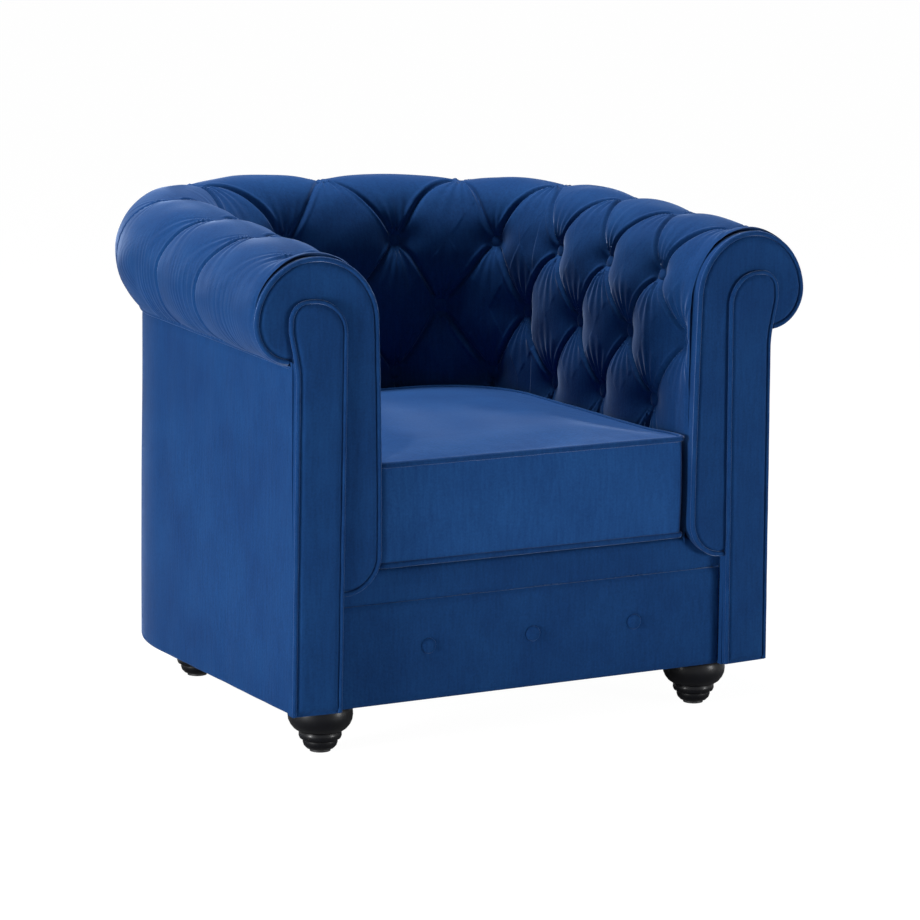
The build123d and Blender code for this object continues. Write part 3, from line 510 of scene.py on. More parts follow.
def soft_waves(along: Array, across: Array, length: float, seed: int, count: int = 7) -> Array:
    """Sums a few seeded waves of about one length into a smooth unevenness of about -1 to 1.

    Args:
        along: First coordinate, in metres.
        across: Second coordinate, in metres.
        length: Typical wave length, in metres.
        seed: Seed of the waves' directions and phases.
        count: Number of waves.

    Returns:
        The unevenness at each place.
    """
    draw = np.random.default_rng(seed)
    total = np.zeros_like(along)
    for _ in range(count):
        turn, phase = draw.uniform(0, 2 * math.pi, 2)
        stretch = length * draw.uniform(0.7, 1.5)
        total += np.sin((along * math.cos(turn) + across * math.sin(turn)) * 2 * math.pi / stretch + phase)
    return total / math.sqrt(2 * count)


# ---------------------------------------------------------------- outlines
def from_box(node: str, end: int, axis: str) -> float:
    """Gives a field whose value is one side of a CAD node's box.

    Args:
        node: Name of the node.
        end: 0 for the low side, 1 for the high side.
        axis: "x", "y" or "z".

    Returns:
        The field; each object reads its value when it is made.
    """
    return field(default_factory=lambda: getattr(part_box(node)[end], axis))


def tangent_arc(start: Point, end: Point, heading: Point, count: int = 24) -> tuple[list[Point], Point]:
    """Draws the arc that leaves a point along a heading and ends at another.

    Args:
        start: First point.
        end: Last point.
        heading: Direction at the first point.
        count: Steps along the arc.

    Returns:
        The points after the first, and the heading at the end.
    """
    chord = np.subtract(end, start)
    length = float(np.hypot(*chord))
    unit = np.asarray(heading) / np.hypot(*heading)
    cross = unit[0] * chord[1] - unit[1] * chord[0]
    half = math.atan2(cross, float(unit @ chord))
    left = np.array([-unit[1], unit[0]])
    points = []
    for step in range(1, count + 1):
        angle = 2 * half * step / count
        if abs(half) < 1e-6:
            place = np.asarray(start) + chord * step / count
        else:
            radius = length / (2 * math.sin(half))
            place = np.asarray(start) + radius * (unit * math.sin(angle) + left * (1 - math.cos(angle)))
        points.append((float(place[0]), float(place[1])))
    turn = 2 * half
    last = unit * math.cos(turn) + left * math.sin(turn)
    return points, (float(last[0]), float(last[1]))


def arc_chain(heading: Point, *corners: Point) -> list[Point]:
    """Draws arcs through points, each leaving along the end of the one before.

    Args:
        heading: Direction at the first point.
        corners: Points that the arcs join.

    Returns:
        The points of all arcs.
    """
    points = [corners[0]]
    for start, end in zip(corners, corners[1:]):
        arc, heading = tangent_arc(start, end, heading)
        points += arc
    return points


def rounded_line(corners: list[Point], radii: list[float], count: int = 12) -> list[Point]:
    """Draws straight runs whose inner corners are rounded.

    Args:
        corners: Points of the line.
        radii: Radius at each inner corner.
        count: Steps along each rounding.

    Returns:
        Points of the rounded line.
    """
    points = [corners[0]]
    for before, corner, after, radius in zip(corners, corners[1:], corners[2:], radii):
        arriving = np.subtract(corner, before) / np.hypot(*np.subtract(corner, before))
        leaving = np.subtract(after, corner) / np.hypot(*np.subtract(after, corner))
        turn = math.acos(float(np.clip(arriving @ leaving, -1, 1)))
        back = radius * math.tan(turn / 2)
        start = tuple(np.asarray(corner) - arriving * back)
        end = tuple(np.asarray(corner) + leaving * back)
        arc, _ = tangent_arc(start, end, tuple(arriving), count)
        points += [start, *arc]
    return [*points, corners[-1]]


def even_line(points: list[Point], step: float, closed: bool = False) -> Array:
    """Spaces points evenly along a drawn line.

    Args:
        points: Points of the line.
        step: Wanted spacing, in metres.
        closed: Whether the line runs back to its first point.

    Returns:
        Rows of evenly spaced points; a closed line repeats its first point at the end.
    """
    line = np.array(points + points[:1] if closed else points, float)
    gaps = np.hypot(*np.diff(line, axis=0).T)
    line = line[np.concatenate(([True], gaps > 1e-7))]
    run = np.concatenate(([0.0], np.cumsum(np.hypot(*np.diff(line, axis=0).T))))
    marks = np.linspace(0, run[-1], max(3, round(run[-1] / step) + 1))
    return np.stack([np.interp(marks, run, line[:, axis]) for axis in (0, 1)], axis=1)


def distance_to(line: Array, places: Array) -> Array:
    """Measures how far places lie from a drawn line.

    Args:
        line: Rows of points of the line.
        places: Rows of points.

    Returns:
        The distance of each place to the nearest stretch of the line.
    """
    start = line[:-1]
    stretch = line[1:] - start
    nearest = np.full(len(places), np.inf)
    for origin, run in zip(start, stretch):
        share = np.clip(((places - origin) @ run) / (run @ run + 1e-12), 0, 1)
        nearest = np.minimum(nearest, np.hypot(*(places - origin - share[:, None] * run).T))
    return nearest


def piping(name: str, path: Array, radius: float, closed: bool = False) -> bpy.types.Object:
    """Sews a cord in bias-cut velvet along a path.

    Args:
        name: Name of the piece.
        path: Rows of (x, y, z) along its middle; a closed path repeats its first point.
        radius: Radius of the piping.
        closed: Whether it runs round.

    Returns:
        The piping as an object.
    """
    run = np.concatenate(([0.0], np.cumsum(np.linalg.norm(np.diff(path, axis=0), axis=1))))
    extended = np.vstack([path[-2], path, path[1]]) if closed else np.vstack([path[0], path, path[-1]])
    heading = extended[2:] - extended[:-2]
    heading /= np.linalg.norm(heading, axis=1)[:, None]

    def lay(along: Array, across: Array) -> Array:
        """Places the cloth round the cord.

        Args:
            along: Share of the way along the path.
            across: Share of the way across it.

        Returns:
            Rows of places.
        """
        at = along * run[-1]
        middle = np.stack([np.interp(at, run, path[:, axis]) for axis in range(3)], axis=1)
        ahead = np.stack([np.interp(at, run, heading[:, axis]) for axis in range(3)], axis=1)
        ahead /= np.linalg.norm(ahead, axis=1)[:, None]
        aside = np.cross(ahead, flat)
        aside /= np.linalg.norm(aside, axis=1)[:, None]
        above = np.cross(aside, ahead)
        angle = 2 * math.pi * across
        swell = radius * (1 + 0.03 * np.sin(at / 0.037) + 0.02 * np.sin(at / 0.011))
        return middle + swell[:, None] * (np.cos(angle)[:, None] * aside + np.sin(angle)[:, None] * above)

    spread = np.ptp(path, axis=0)
    flat = np.eye(3)[int(np.argmin(spread))]
    made = wrapped_grid(len(path) - 1, CORD_CELLS, lay, closed)
    return finish_piece(made, name, Finish.PIPING)


# ---------------------------------------------------------------- the tub's path and cross-section
@dataclass(frozen=True)
class Section:
    """Cross-section of the padded wall where it starts, at the facings, and at the back."""

    inner: tuple[float, float] = (0.258, 0.246)
    top: tuple[float, float] = (0.726, 0.750)
    middle: tuple[float, float] = (0.635, 0.661)
    centre: tuple[float, float] = (0.358, 0.342)
    overhang: tuple[float, float] = (0.059, 0.038)
    seam: tuple[float, float] = (0.566, 0.580)
    shoulder: tuple[float, float] = (0.605, 0.622)
    knee: float = 35.0
    taper_start: float = 0.034
    taper_length: float = 0.070
    rail_drop: float = 0.035
    rear: float = 0.323


@dataclass
class Tub:
    """Plan of the tub: where runs and cross-section places lie in the chair's frame."""

    wall: float = from_box("right_outside_arm", 1, "x")
    front: float = from_box("left_post_panel", 0, "y")
    start: float = from_box("left_scroll_facing", 1, "y")
    corner_y: float = from_box("right_outside_arm", 1, "y")
    corner_x: float = from_box("back_padding", 1, "x")
    bottom: float = from_box("left_arm_padding", 0, "z")
    foot: float = from_box("left_outside_arm", 0, "z")
    turn_radius: float = 0.200
    section: Section = Section()

    def __post_init__(self) -> None:
        """Works out the lengths of the arms, corners and back along the reference line."""
        self.arm = self.corner_y - self.start
        self.turn = self.turn_radius * math.pi / 2
        self.half = self.arm + self.turn + self.corner_x

    def folded(self, run: Array) -> tuple[Array, Array]:
        """Gives the run from the nearer front end, and 1 on the right or -1 on the left."""
        return self.half - np.abs(run - self.half), np.where(run <= self.half, 1.0, -1.0)

    def outward(self, run: Array) -> tuple[Array, Array]:
        """Gives the plan direction out of the tub.

        Args:
            run: Places along the tub.

        Returns:
            The direction's x and y.
        """
        near, side = self.folded(run)
        angle = np.clip((near - self.arm) / self.turn_radius, 0, math.pi / 2)
        return side * np.cos(angle), np.sin(angle)

    def place(self, run: Array, n: Array) -> tuple[Array, Array]:
        """Finds plan places of cross-section distances.

        Args:
            run: Places along the tub.
            n: Distances in the cross-section.

        Returns:
            x and y of each place.
        """
        near, side = self.folded(run)
        angle = np.clip((near - self.arm) / self.turn_radius, 0, math.pi / 2)
        past = np.clip(near - self.arm - self.turn, 0, None)
        reach = n - self.corner_x
        x = side * (self.corner_x + reach * np.cos(angle) - past)
        y = self.start + np.minimum(near, self.arm) + reach * np.sin(angle)
        return x, y

    def stretch(self, run: Array, n: Array) -> Array:
        """Gives real length per metre of run at a cross-section distance.

        Args:
            run: Places along the tub.
            n: Distances in the cross-section.

        Returns:
            The stretch at each place.
        """
        near, _ = self.folded(run)
        turning = (near > self.arm) & (near < self.arm + self.turn)
        return np.where(turning, (n - self.corner_x) / self.turn_radius, 1.0)

    def size(self, name: str, near: Array) -> Array:
        """Gives one size of the cross-section along the tub.

        Args:
            name: Name of the size.
            near: Runs from the nearer front end.

        Returns:
            The size at each run.
        """
        front, back = getattr(self.section, name)
        share = near / self.arm
        if name == "inner":
            share = (near - self.section.taper_start) / self.section.taper_length
        return front + (back - front) * np.clip(share, 0, 1)


@dataclass
class Profile:
    """Curve of the padded wall's cross-section: up the inside face, over the roll, to the seam under it."""

    tub: Tub
    near: Array

    def __post_init__(self) -> None:
        """Works out the arcs over the roll at each place along the tub."""
        levels = ("inner", "top", "centre", "middle", "seam", "shoulder", "overhang")
        sizes = (self.tub.size(name, self.near) for name in levels)
        self.inner, self.top, self.centre, self.middle, self.seam, self.shoulder, overhang = sizes
        self.outer = self.tub.wall + overhang
        span, lift = self.centre - self.inner, self.top - self.shoulder
        self.knee_angle = math.radians(self.tub.section.knee)
        sine, cosine = math.sin(self.knee_angle), math.cos(self.knee_angle)
        self.lean_radius = (lift * cosine - span * (1 - sine)) / (sine + cosine - 1)
        self.rise_radius = (span * sine - lift * (1 - cosine)) / (sine + cosine - 1)
        span, lift = self.outer - self.centre, self.top - self.middle
        self.fall_radius = (span**2 + lift**2) / (2 * lift)
        self.fall_angle = np.arctan2(span, self.fall_radius - lift)
        span, lift = self.outer - self.tub.wall, self.middle - self.seam
        self.tuck_radius = (span**2 + lift**2) / (2 * span)
        self.tuck_angle = np.arctan2(lift, self.tuck_radius - span)
        self.straight = self.shoulder - self.tub.bottom
        self.knee = self.straight + self.lean_radius * self.knee_angle
        self.crest = self.knee + self.rise_radius * (math.pi / 2 - self.knee_angle)
        self.widest = self.crest + self.fall_radius * self.fall_angle
        self.end = self.widest + self.tuck_radius * self.tuck_angle

    def length_at(self, height: Array) -> Array:
        """Gives the length along the inside face at a height below the crest.

        Args:
            height: Heights above the floor.

        Returns:
            Lengths from the foot of the inside face.
        """
        lean = np.clip((height - self.shoulder) / self.lean_radius, 0, 1)
        level = (height - (self.top - self.rise_radius)) / self.rise_radius
        on_roll = self.crest - self.rise_radius * np.arccos(np.clip(level, -1, 1))
        knee_height = self.shoulder + self.lean_radius * math.sin(self.knee_angle)
        return np.select(
            [height <= self.shoulder, height <= knee_height],
            [height - self.tub.bottom, self.straight + self.lean_radius * np.arcsin(lean)],
            on_roll,
        )

    def trace(self, length: Array) -> tuple[Array, Array, Array, Array]:
        """Follows the curve.

        Args:
            length: Lengths from the foot of the inside face.

        Returns:
            n and z of the curve, and the n and z of its outward normal.
        """
        lean = (length - self.straight) / self.lean_radius
        rise = (length - self.crest) / self.rise_radius
        fall = (length - self.crest) / self.fall_radius
        tuck = (length - self.widest) / self.tuck_radius
        parts = [length <= self.straight, length <= self.knee, length <= self.crest, length <= self.widest]
        n = np.select(
            parts,
            [
                self.inner,
                self.inner + self.lean_radius * (1 - np.cos(lean)),
                self.centre + self.rise_radius * np.sin(rise),
                self.centre + self.fall_radius * np.sin(fall),
            ],
            self.outer - self.tuck_radius * (1 - np.cos(tuck)),
        )
        z = np.select(
            parts,
            [
                self.tub.bottom + length,
                self.shoulder + self.lean_radius * np.sin(lean),
                self.top - self.rise_radius * (1 - np.cos(rise)),
                self.top - self.fall_radius * (1 - np.cos(fall)),
            ],
            self.middle - self.tuck_radius * np.sin(tuck),
        )
        normal_n = np.select(parts, [-1.0, -np.cos(lean), np.sin(rise), np.sin(fall)], np.cos(tuck))
        normal_z = np.select(parts, [0.0, np.sin(lean), np.cos(rise), np.cos(fall)], -np.sin(tuck))
        return n, z, normal_n, normal_z


# ---------------------------------------------------------------- deep buttoning
@dataclass
class Tufting:
    """Diamond buttoning: a lattice of columns along the tub and rows up its inside face.

    Rows count 0 for the lowest buttons, 1 and 2 for those above, and 3 for the notches on the
    crest. Columns count from the facing to the middle of the back. Buttons sit where column and
    row add up to an odd number.
    """

    tub: Tub
    lower: tuple[float, float] = (0.465, 0.440)
    centre: tuple[float, float] = (0.560, 0.545)
    upper: tuple[float, float] = (0.655, 0.655)
    pitch: float = 0.0725
    first: float = 0.050
    arm_columns: int = 6
    corner_low: tuple[float, float, float] = (12.0, 35.0, 66.0)
    corner_high: tuple[float, float, float] = (13.0, 35.0, 57.0)
    back_pitch: float = 0.097
    foot_depth: float = 0.0050
    pleat_depth: float = 0.0085
    crest_depth: float = 0.0070
    seam_depth: float = 0.0025
    funnel_depth: tuple[float, float, float, float] = (0.0150, 0.0165, 0.0190, 0.0040)
    funnel_radius: float = 0.026
    crease_depth: float = 0.0048
    crease_width: float = 0.0022
    lip_height: float = 0.0020
    pucker_depth: float = 0.0024
    pucker_count: int = 24
    gather_depth: float = 0.00055
    gather_lengths: tuple[float, float] = (0.0125, 0.0083)
    hollow_depth: float = 0.0006
    pleat_drift: float = 0.040
    front_tuck: float = 0.0015
    tuck_width: float = 0.005
    front_ease: float = 0.030

    def __post_init__(self) -> None:
        """Works out where the columns stand, low down and at the crest."""
        self.low_knots = self._knots(self.corner_low)
        self.high_knots = self._knots(self.corner_high)
        self.last = len(self.low_knots) - 1

    def _knots(self, angles: tuple[float, float, float]) -> Array:
        """Gives the columns' runs from the front, for the corner's angles in degrees.

        Args:
            angles: The corner columns' angles, in degrees.

        Returns:
            The run of each column.
        """
        ahead = self.tub.start - self.tub.front
        arm = [self.first + self.pitch * index - ahead for index in range(self.arm_columns)]
        corner = [self.tub.arm + self.tub.turn_radius * math.radians(angle) for angle in angles]
        return np.array([*arm, *corner, self.tub.half - self.back_pitch, self.tub.half])

    def row_lengths(self, profile: Profile) -> list[Array]:
        """Gives the length along the profile of each row and of the crest.

        Args:
            profile: The cross-section.

        Returns:
            Lengths of the three rows and of the crest.
        """
        share = np.clip(profile.near / self.tub.arm, 0, 1)
        rows = [front + (back - front) * share for front, back in (self.lower, self.centre, self.upper)]
        return [*(profile.length_at(height) for height in rows), profile.crest]

    def run_of(self, column: Array, row: Array) -> Array:
        """Gives the run from the front at which a column stands in a row.

        Args:
            column: Column of each place, counted in buttons.
            row: Row of each place, counted in buttons.

        Returns:
            The run from the front of each.
        """
        share = np.clip((row - 1) / 2, 0, 1)
        numbers = np.arange(self.last + 1)
        low = np.interp(column, numbers, self.low_knots)
        return low + share * (np.interp(column, numbers, self.high_knots) - low)

    def depth(self, run: Array, length: Array, profile: Profile, n: Array) -> Array:
        """Works out how deep the cloth lies below the full padding.

        Args:
            run: Places along the tub.
            length: Lengths along the cross-section.
            profile: The cross-section at those runs.
            n: Cross-section distance of each place.

        Returns:
            Depth in metres, along the inward normal.
        """
        lengths = self.row_lengths(profile)
        past = np.clip((length - profile.crest) / (profile.end - profile.crest), 0, 1)
        row = np.select(
            [length < lengths[0], length < lengths[1], length < lengths[2], length < lengths[3]],
            [
                (length - lengths[0]) / (lengths[1] - lengths[0]),
                (length - lengths[0]) / (lengths[1] - lengths[0]),
                1 + (length - lengths[1]) / (lengths[2] - lengths[1]),
                2 + (length - lengths[2]) / (lengths[3] - lengths[2]),
            ],
            3.0 + past,
        )
        near = profile.near
        fading = 1 - smooth_step((near - self.tub.arm * 0.7) / (self.tub.turn + self.tub.arm * 0.3))
        drifted = near - self.pleat_drift * fading * smooth_step(past * 1.6)
        share = np.clip((row - 1) / 2, 0, 1)
        numbers = np.arange(self.last + 1)
        low = np.interp(drifted, self.low_knots, numbers)
        column = low + share * (np.interp(drifted, self.high_knots, numbers) - low) + 1e-4

        held = np.clip(row, 0, 3)
        first, second = (column + held - 1) / 2, (column - held - 1) / 2
        first_arch, second_arch = np.abs(np.sin(math.pi * first)), np.abs(np.sin(math.pi * second))
        pillow = np.sqrt(first_arch * second_arch)

        button_row = np.round(first) - np.round(second)
        button_column = np.clip(np.round(first) + np.round(second) + 1, 0, self.last)
        button_length = np.choose(np.clip(button_row, 0, 3).astype(int), lengths)
        stretch = self.tub.stretch(run, n)
        aside = (drifted - self.run_of(button_column, button_row)) * stretch
        above = length - button_length
        reach = np.hypot(aside, above)

        pleat = self._pleat_depth(row, past, column)
        edge = smooth_step(near / self.front_ease)
        total = pleat * edge * (1 - pillow)
        funnel = np.choose(np.clip(button_row, 0, 3).astype(int), self.funnel_depth)
        held_edge = smooth_step((near - 0.002) / 0.024)
        total = total + held_edge * funnel * np.exp(-((reach / self.funnel_radius) ** 1.5))
        total = total + edge * self._creases(first, second, row, pleat, stretch, reach)
        total = total - self._puckers(aside, above, reach, button_row, button_column)
        total = total + self._gathers(run, past, stretch) + self._hollows(run, length)
        return total + self.front_tuck * np.exp(-((near / self.tuck_width) ** 2))

    def _pleat_depth(self, row: Array, past: Array, column: Array) -> Array:
        """Gives the depth of the pleats between buttons, which fade down the roll's outside.

        Args:
            row: Row of each place, counted in buttons.
            past: Share of the way from the crest to the seam.
            column: Column of each place, counted in buttons.

        Returns:
            Depth in metres.
        """
        deep, crest = self.pleat_depth, self.crest_depth
        inside = np.interp(row, [-2.0, 0.0, 2.0, 3.0], [self.foot_depth, deep, deep, crest])
        roll = self.crest_depth + (self.seam_depth - self.crest_depth) * smooth_step(past * 1.1)
        short = np.where(column < 1.0, 1 - smooth_step((past - 0.05) / 0.30), 1.0)
        return np.where(past > 0, roll * short, inside)

    def _creases(
        self, first: Array, second: Array, row: Array, pleat: Array, stretch: Array, reach: Array
    ) -> Array:
        """Cuts the narrow fold line of each pleat, with a lip of tucked cloth on one side.

        Args:
            first: Place in the first set of diagonals.
            second: Place in the second set.
            row: Row of each place, counted in buttons.
            pleat: Depth of the pleats.
            stretch: Real length per metre of run.
            reach: Distance to the nearest button.

        Returns:
            Depth in metres.
        """
        across = self.pitch * stretch
        single = (row < 0) | (row > 3)
        slant = np.where(single, across, across * 0.80)
        total = np.zeros_like(first)
        for lattice in (first, second):
            off = (lattice - np.round(lattice)) * 2 * slant
            line = self.crease_depth * np.exp(-((off / self.crease_width) ** 2))
            lip = self.lip_height * np.exp(-(((off - 2.2 * self.crease_width) / self.crease_width) ** 2))
            total += np.where(single, 0.5, 1.0) * (line - lip)
        clear = smooth_step((reach - 0.010) / 0.012)
        return total * clear * np.clip(pleat / self.pleat_depth, 0, 1)

    def _puckers(
        self, aside: Array, above: Array, reach: Array, button_row: Array, button_column: Array
    ) -> Array:
        """Raises the small folds that fan out above and below each button.

        Args:
            aside: Distance from the button along the tub.
            above: Distance from it up the profile.
            reach: Distance to the nearest button.
            button_row: Row of the nearest button.
            button_column: Column of the nearest button.

        Returns:
            Height in metres.
        """
        angle = np.arctan2(np.abs(aside), np.abs(above))
        seed = np.sin(button_column * 12.9898 + button_row * 78.233 + np.sign(above) * 3.7) * 43758.5453
        phase = (seed - np.floor(seed)) * 2 * math.pi
        fan = 1 - smooth_step((angle - 0.45) / 0.25)
        fade = smooth_step((reach - 0.009) / 0.010) * np.exp(-np.clip(reach - 0.02, 0, None) / 0.040)
        folds = np.cos(np.arctan2(aside, above + 1e-9) * self.pucker_count + phase)
        folds = folds * (0.7 + 0.3 * np.cos(7 * angle + phase))
        return self.pucker_depth * folds * fan * fade * np.where(button_row > 2.5, 0.9, 1.0)

    def _gathers(self, run: Array, past: Array, stretch: Array) -> Array:
        """Gathers the cloth towards the seam under the roll.

        Args:
            run: Places along the tub.
            past: Share of the way from the crest to the seam.
            stretch: Real length per metre of run.

        Returns:
            Depth in metres.
        """
        real = run * np.maximum(stretch, 1.0)
        turn = real * 2 * math.pi
        wide, fine = self.gather_lengths
        waves = np.sin(turn / wide + 2.5 * np.sin(turn / 0.11))
        waves += 0.6 * np.sin(turn / fine + 1.7 * np.sin(turn / 0.07))
        patchy = 0.55 + 0.45 * np.sin(turn / 0.145 + 0.8)
        return self.gather_depth * (1 + waves) * patchy * smooth_step((past - 0.25) / 0.75)

    def _hollows(self, run: Array, length: Array) -> Array:
        """Gives the slight unevenness of hand-laid stuffing."""
        return self.hollow_depth * (1 + soft_waves(run, length, 0.06, seed=11))

    def buttons(self, profile_of: Callable[[Array], Profile]) -> list[tuple[str, float, float]]:
        """Lists the buttons.

        Args:
            profile_of: Gives the profile at runs from the front.

        Returns:
            Group ("arm" or "back"), run on the right half, and length along the profile of each.
        """
        found = []
        for row in range(3):
            for column in range(self.last + 1):
                if (row + column) % 2:
                    run = self.run_of(np.array([float(column)]), np.array([float(row)]))
                    length = self.row_lengths(profile_of(run))[row]
                    group = "arm" if column < self.arm_columns else "back"
                    found.append((group, float(run[0]), float(length[0])))
        return found


@dataclass
class PaddedWall:
    """Buttoned padding over both arms, both rear corners and the back, in one cover."""

    tub: Tub
    tufting: Tufting
    cell: float = 0.0021
    hidden_rows: int = 10
    visible_from: float = 0.150
    board_inset: float = 0.011
    board_depth: float = 0.0185
    foot_share: float = 0.04
    cover_gap: float = 0.0045
    button_sink: float = 0.0012
    sway_from: float = 0.35

    def profile_of(self, run: Array) -> Profile:
        """Gives the cross-section at runs along the tub."""
        return Profile(self.tub, self.tub.folded(run)[0])

    def surface(self, run: Array, length: Array, extra: float = 0.0) -> tuple[Array, Array]:
        """Finds places on the buttoned surface.

        Args:
            run: Places along the tub.
            length: Lengths along the cross-section.
            extra: Further depth below the surface.

        Returns:
            Rows of places, and rows of the smooth surface's normals.
        """
        profile = self.profile_of(run)
        n, z, normal_n, normal_z = profile.trace(length)
        depth = self.tufting.depth(run, length, profile, n) + extra
        depth = depth * smooth_step(length / self.visible_from)
        out_x, out_y = self.tub.outward(run)
        x, y = self.tub.place(run, n - normal_n * depth)
        raised = self.sway(run) * smooth_step((length - self.sway_from) / (profile.crest - self.sway_from))
        raised = raised * (1 - smooth_step((length - profile.crest) / (profile.end - profile.crest)))
        normals = np.stack([out_x * normal_n, out_y * normal_n, normal_z], axis=1)
        return np.stack([x, y, z - normal_z * depth + raised], axis=1), normals

    def sway(self, run: Array) -> Array:
        """Gives the uneven height of the hand-stuffed crest along the tub.

        Args:
            run: Places along the tub.

        Returns:
            Height in metres.
        """
        arm, half = self.tub.arm, self.tub.half
        stops = [arm * 0.6, arm + 0.15, half - 0.03, half + 0.14, half + 0.30, 2 * half - arm * 0.5]
        return np.interp(run, stops, [0.0, -0.0060, 0.0005, 0.0075, 0.0060, 0.0])

    def lay(self, along: Array, across: Array) -> Array:
        """Lays the cover round the wall: inside face, roll, then the plain back of the padding.

        Args:
            along: Share of the way along the path.
            across: Share of the way across it.

        Returns:
            Rows of places.
        """
        run = along * 2 * self.tub.half
        profile = self.profile_of(run)
        total = float(np.max(profile.end))
        rows = round(total / self.cell)
        share = across * (rows + self.hidden_rows) / rows
        lowest, shown = self.visible_from, 1 - self.foot_share
        length = np.where(
            share < self.foot_share,
            lowest * share / self.foot_share,
            lowest + (profile.end - lowest) * np.clip((share - self.foot_share) / shown, 0, 1),
        )
        places, _ = self.surface(run, length)
        hidden = share > 1 + 1e-9
        step = (share[hidden] - 1) * rows / self.hidden_rows
        near = profile.near[hidden]
        rail = self.tub.size("middle", near) - self.tub.section.rail_drop + 0.0005
        seam = self.tub.size("seam", near)
        behind, rear, bottom = self.tub.wall - self.cover_gap, self.tub.section.rear, self.tub.bottom
        levels_n = (self.tub.wall, behind, behind, rear, rear)
        route_n = [*(np.full_like(near, n) for n in levels_n), self.tub.size("inner", near)]
        route_z = [seam, seam + 0.004, rail, rail, np.full_like(near, bottom), np.full_like(near, bottom)]
        n = self._along(route_n, step)
        z = self._along(route_z, step)
        x, y = self.tub.place(run[hidden], n)
        places[hidden] = np.stack([x, y, z], axis=1)
        return places

    @staticmethod
    def _along(values: list[Array], step: Array) -> Array:
        """Follows straight runs between values that change along the tub.

        Args:
            values: Values at even steps of the way, each along the tub.
            step: Share of the way at each place.

        Returns:
            The value at each place.
        """
        last = len(values) - 1
        index = np.clip(np.floor(step * last).astype(int), 0, last - 1)
        part = step * last - index
        return np.choose(index, values[:-1]) * (1 - part) + np.choose(index, values[1:]) * part

    def build(self) -> bpy.types.Object:
        """Builds the wall, with a rebate at each end for the scroll board.

        Returns:
            The wall as an object.
        """
        columns = round(2 * self.tub.half / self.cell)
        rows = round(float(np.max(self.profile_of(np.array([self.tub.half, 0.0])).end)) / self.cell)
        made = wrapped_grid(columns, rows + self.hidden_rows, self.lay)
        ends = [face for face in made.faces if len(face.verts) > 8]
        for end in ends:
            bmesh.ops.inset_region(made, faces=[end], thickness=self.board_inset, use_even_offset=False)
            bmesh.ops.translate(made, verts=end.verts, vec=(0, self.board_depth, 0))
        piece = finish_piece(made, "buttoned_padding", Finish.VELVET, sharp=math.radians(75))
        nodes = [f"{side}_{part}_padding" for side in SIDES for part in ("arm", "corner")]
        return dress(piece, CHAIR, *nodes, "back_padding", fill=0.9)

    def build_buttons(self) -> None:
        """Builds the covered buttons in their dimples: one group for each arm and the back."""
        groups: dict[str, list[tuple[float, float]]] = {"left_arm": [], "right_arm": [], "back": []}
        for group, run, length in self.tufting.buttons(self.profile_of):
            middle = abs(run - self.tub.half) < 1e-4
            for side in ("right",) if middle else SIDES:
                whole = run if side == "right" else 2 * self.tub.half - run
                groups[f"{side}_arm" if group == "arm" else "back"].append((whole, length))
        for name, places in groups.items():
            made = bmesh.new()
            for run, length in places:
                middle, normal = self.surface(np.array([run]), np.array([length]), extra=self.button_sink)
                sew_button(made, Vector(middle[0]), Vector(normal[0]))
            piece = finish_piece(in_fixed_order(made), f"{name}_tuft_buttons", Finish.BUTTON)
            dress(piece, CHAIR, f"{name}_buttons")


def sew_button(made: bmesh.types.BMesh, middle: Vector, normal: Vector) -> None:
    """Adds a covered button: a domed cap whose cloth is drawn in round its rim.

    Args:
        made: Mesh that gets the button.
        middle: Middle of its underside.
        normal: Direction that it faces.
    """
    turn = normal.to_track_quat("Z", "Y").to_matrix().to_4x4()
    turn.translation = middle
    foot = made.verts.new((0, 0, 0))
    rim = [made.verts.new((BUTTON_RADIUS * reach, 0, BUTTON_RADIUS * rise)) for reach, rise in BUTTON_DOME]
    top = made.verts.new((0, 0, BUTTON_RADIUS * BUTTON_CROWN))
    line = [made.edges.new(pair) for pair in zip([foot, *rim], [*rim, top])]
    spin_round(made, [foot, *rim, top, *line], (0, 0), BUTTON_CELLS)
    grown = {vertex for edge in line for vertex in edge.verts}
    stack = list(grown)
    while stack:
        fresh = {vertex for edge in stack.pop().link_edges for vertex in edge.verts} - grown
        grown |= fresh
        stack += fresh
    bmesh.ops.remove_doubles(made, verts=list(grown), dist=WELD)
    kept = [vertex for vertex in grown if vertex.is_valid]
    bmesh.ops.transform(made, matrix=turn, verts=kept)


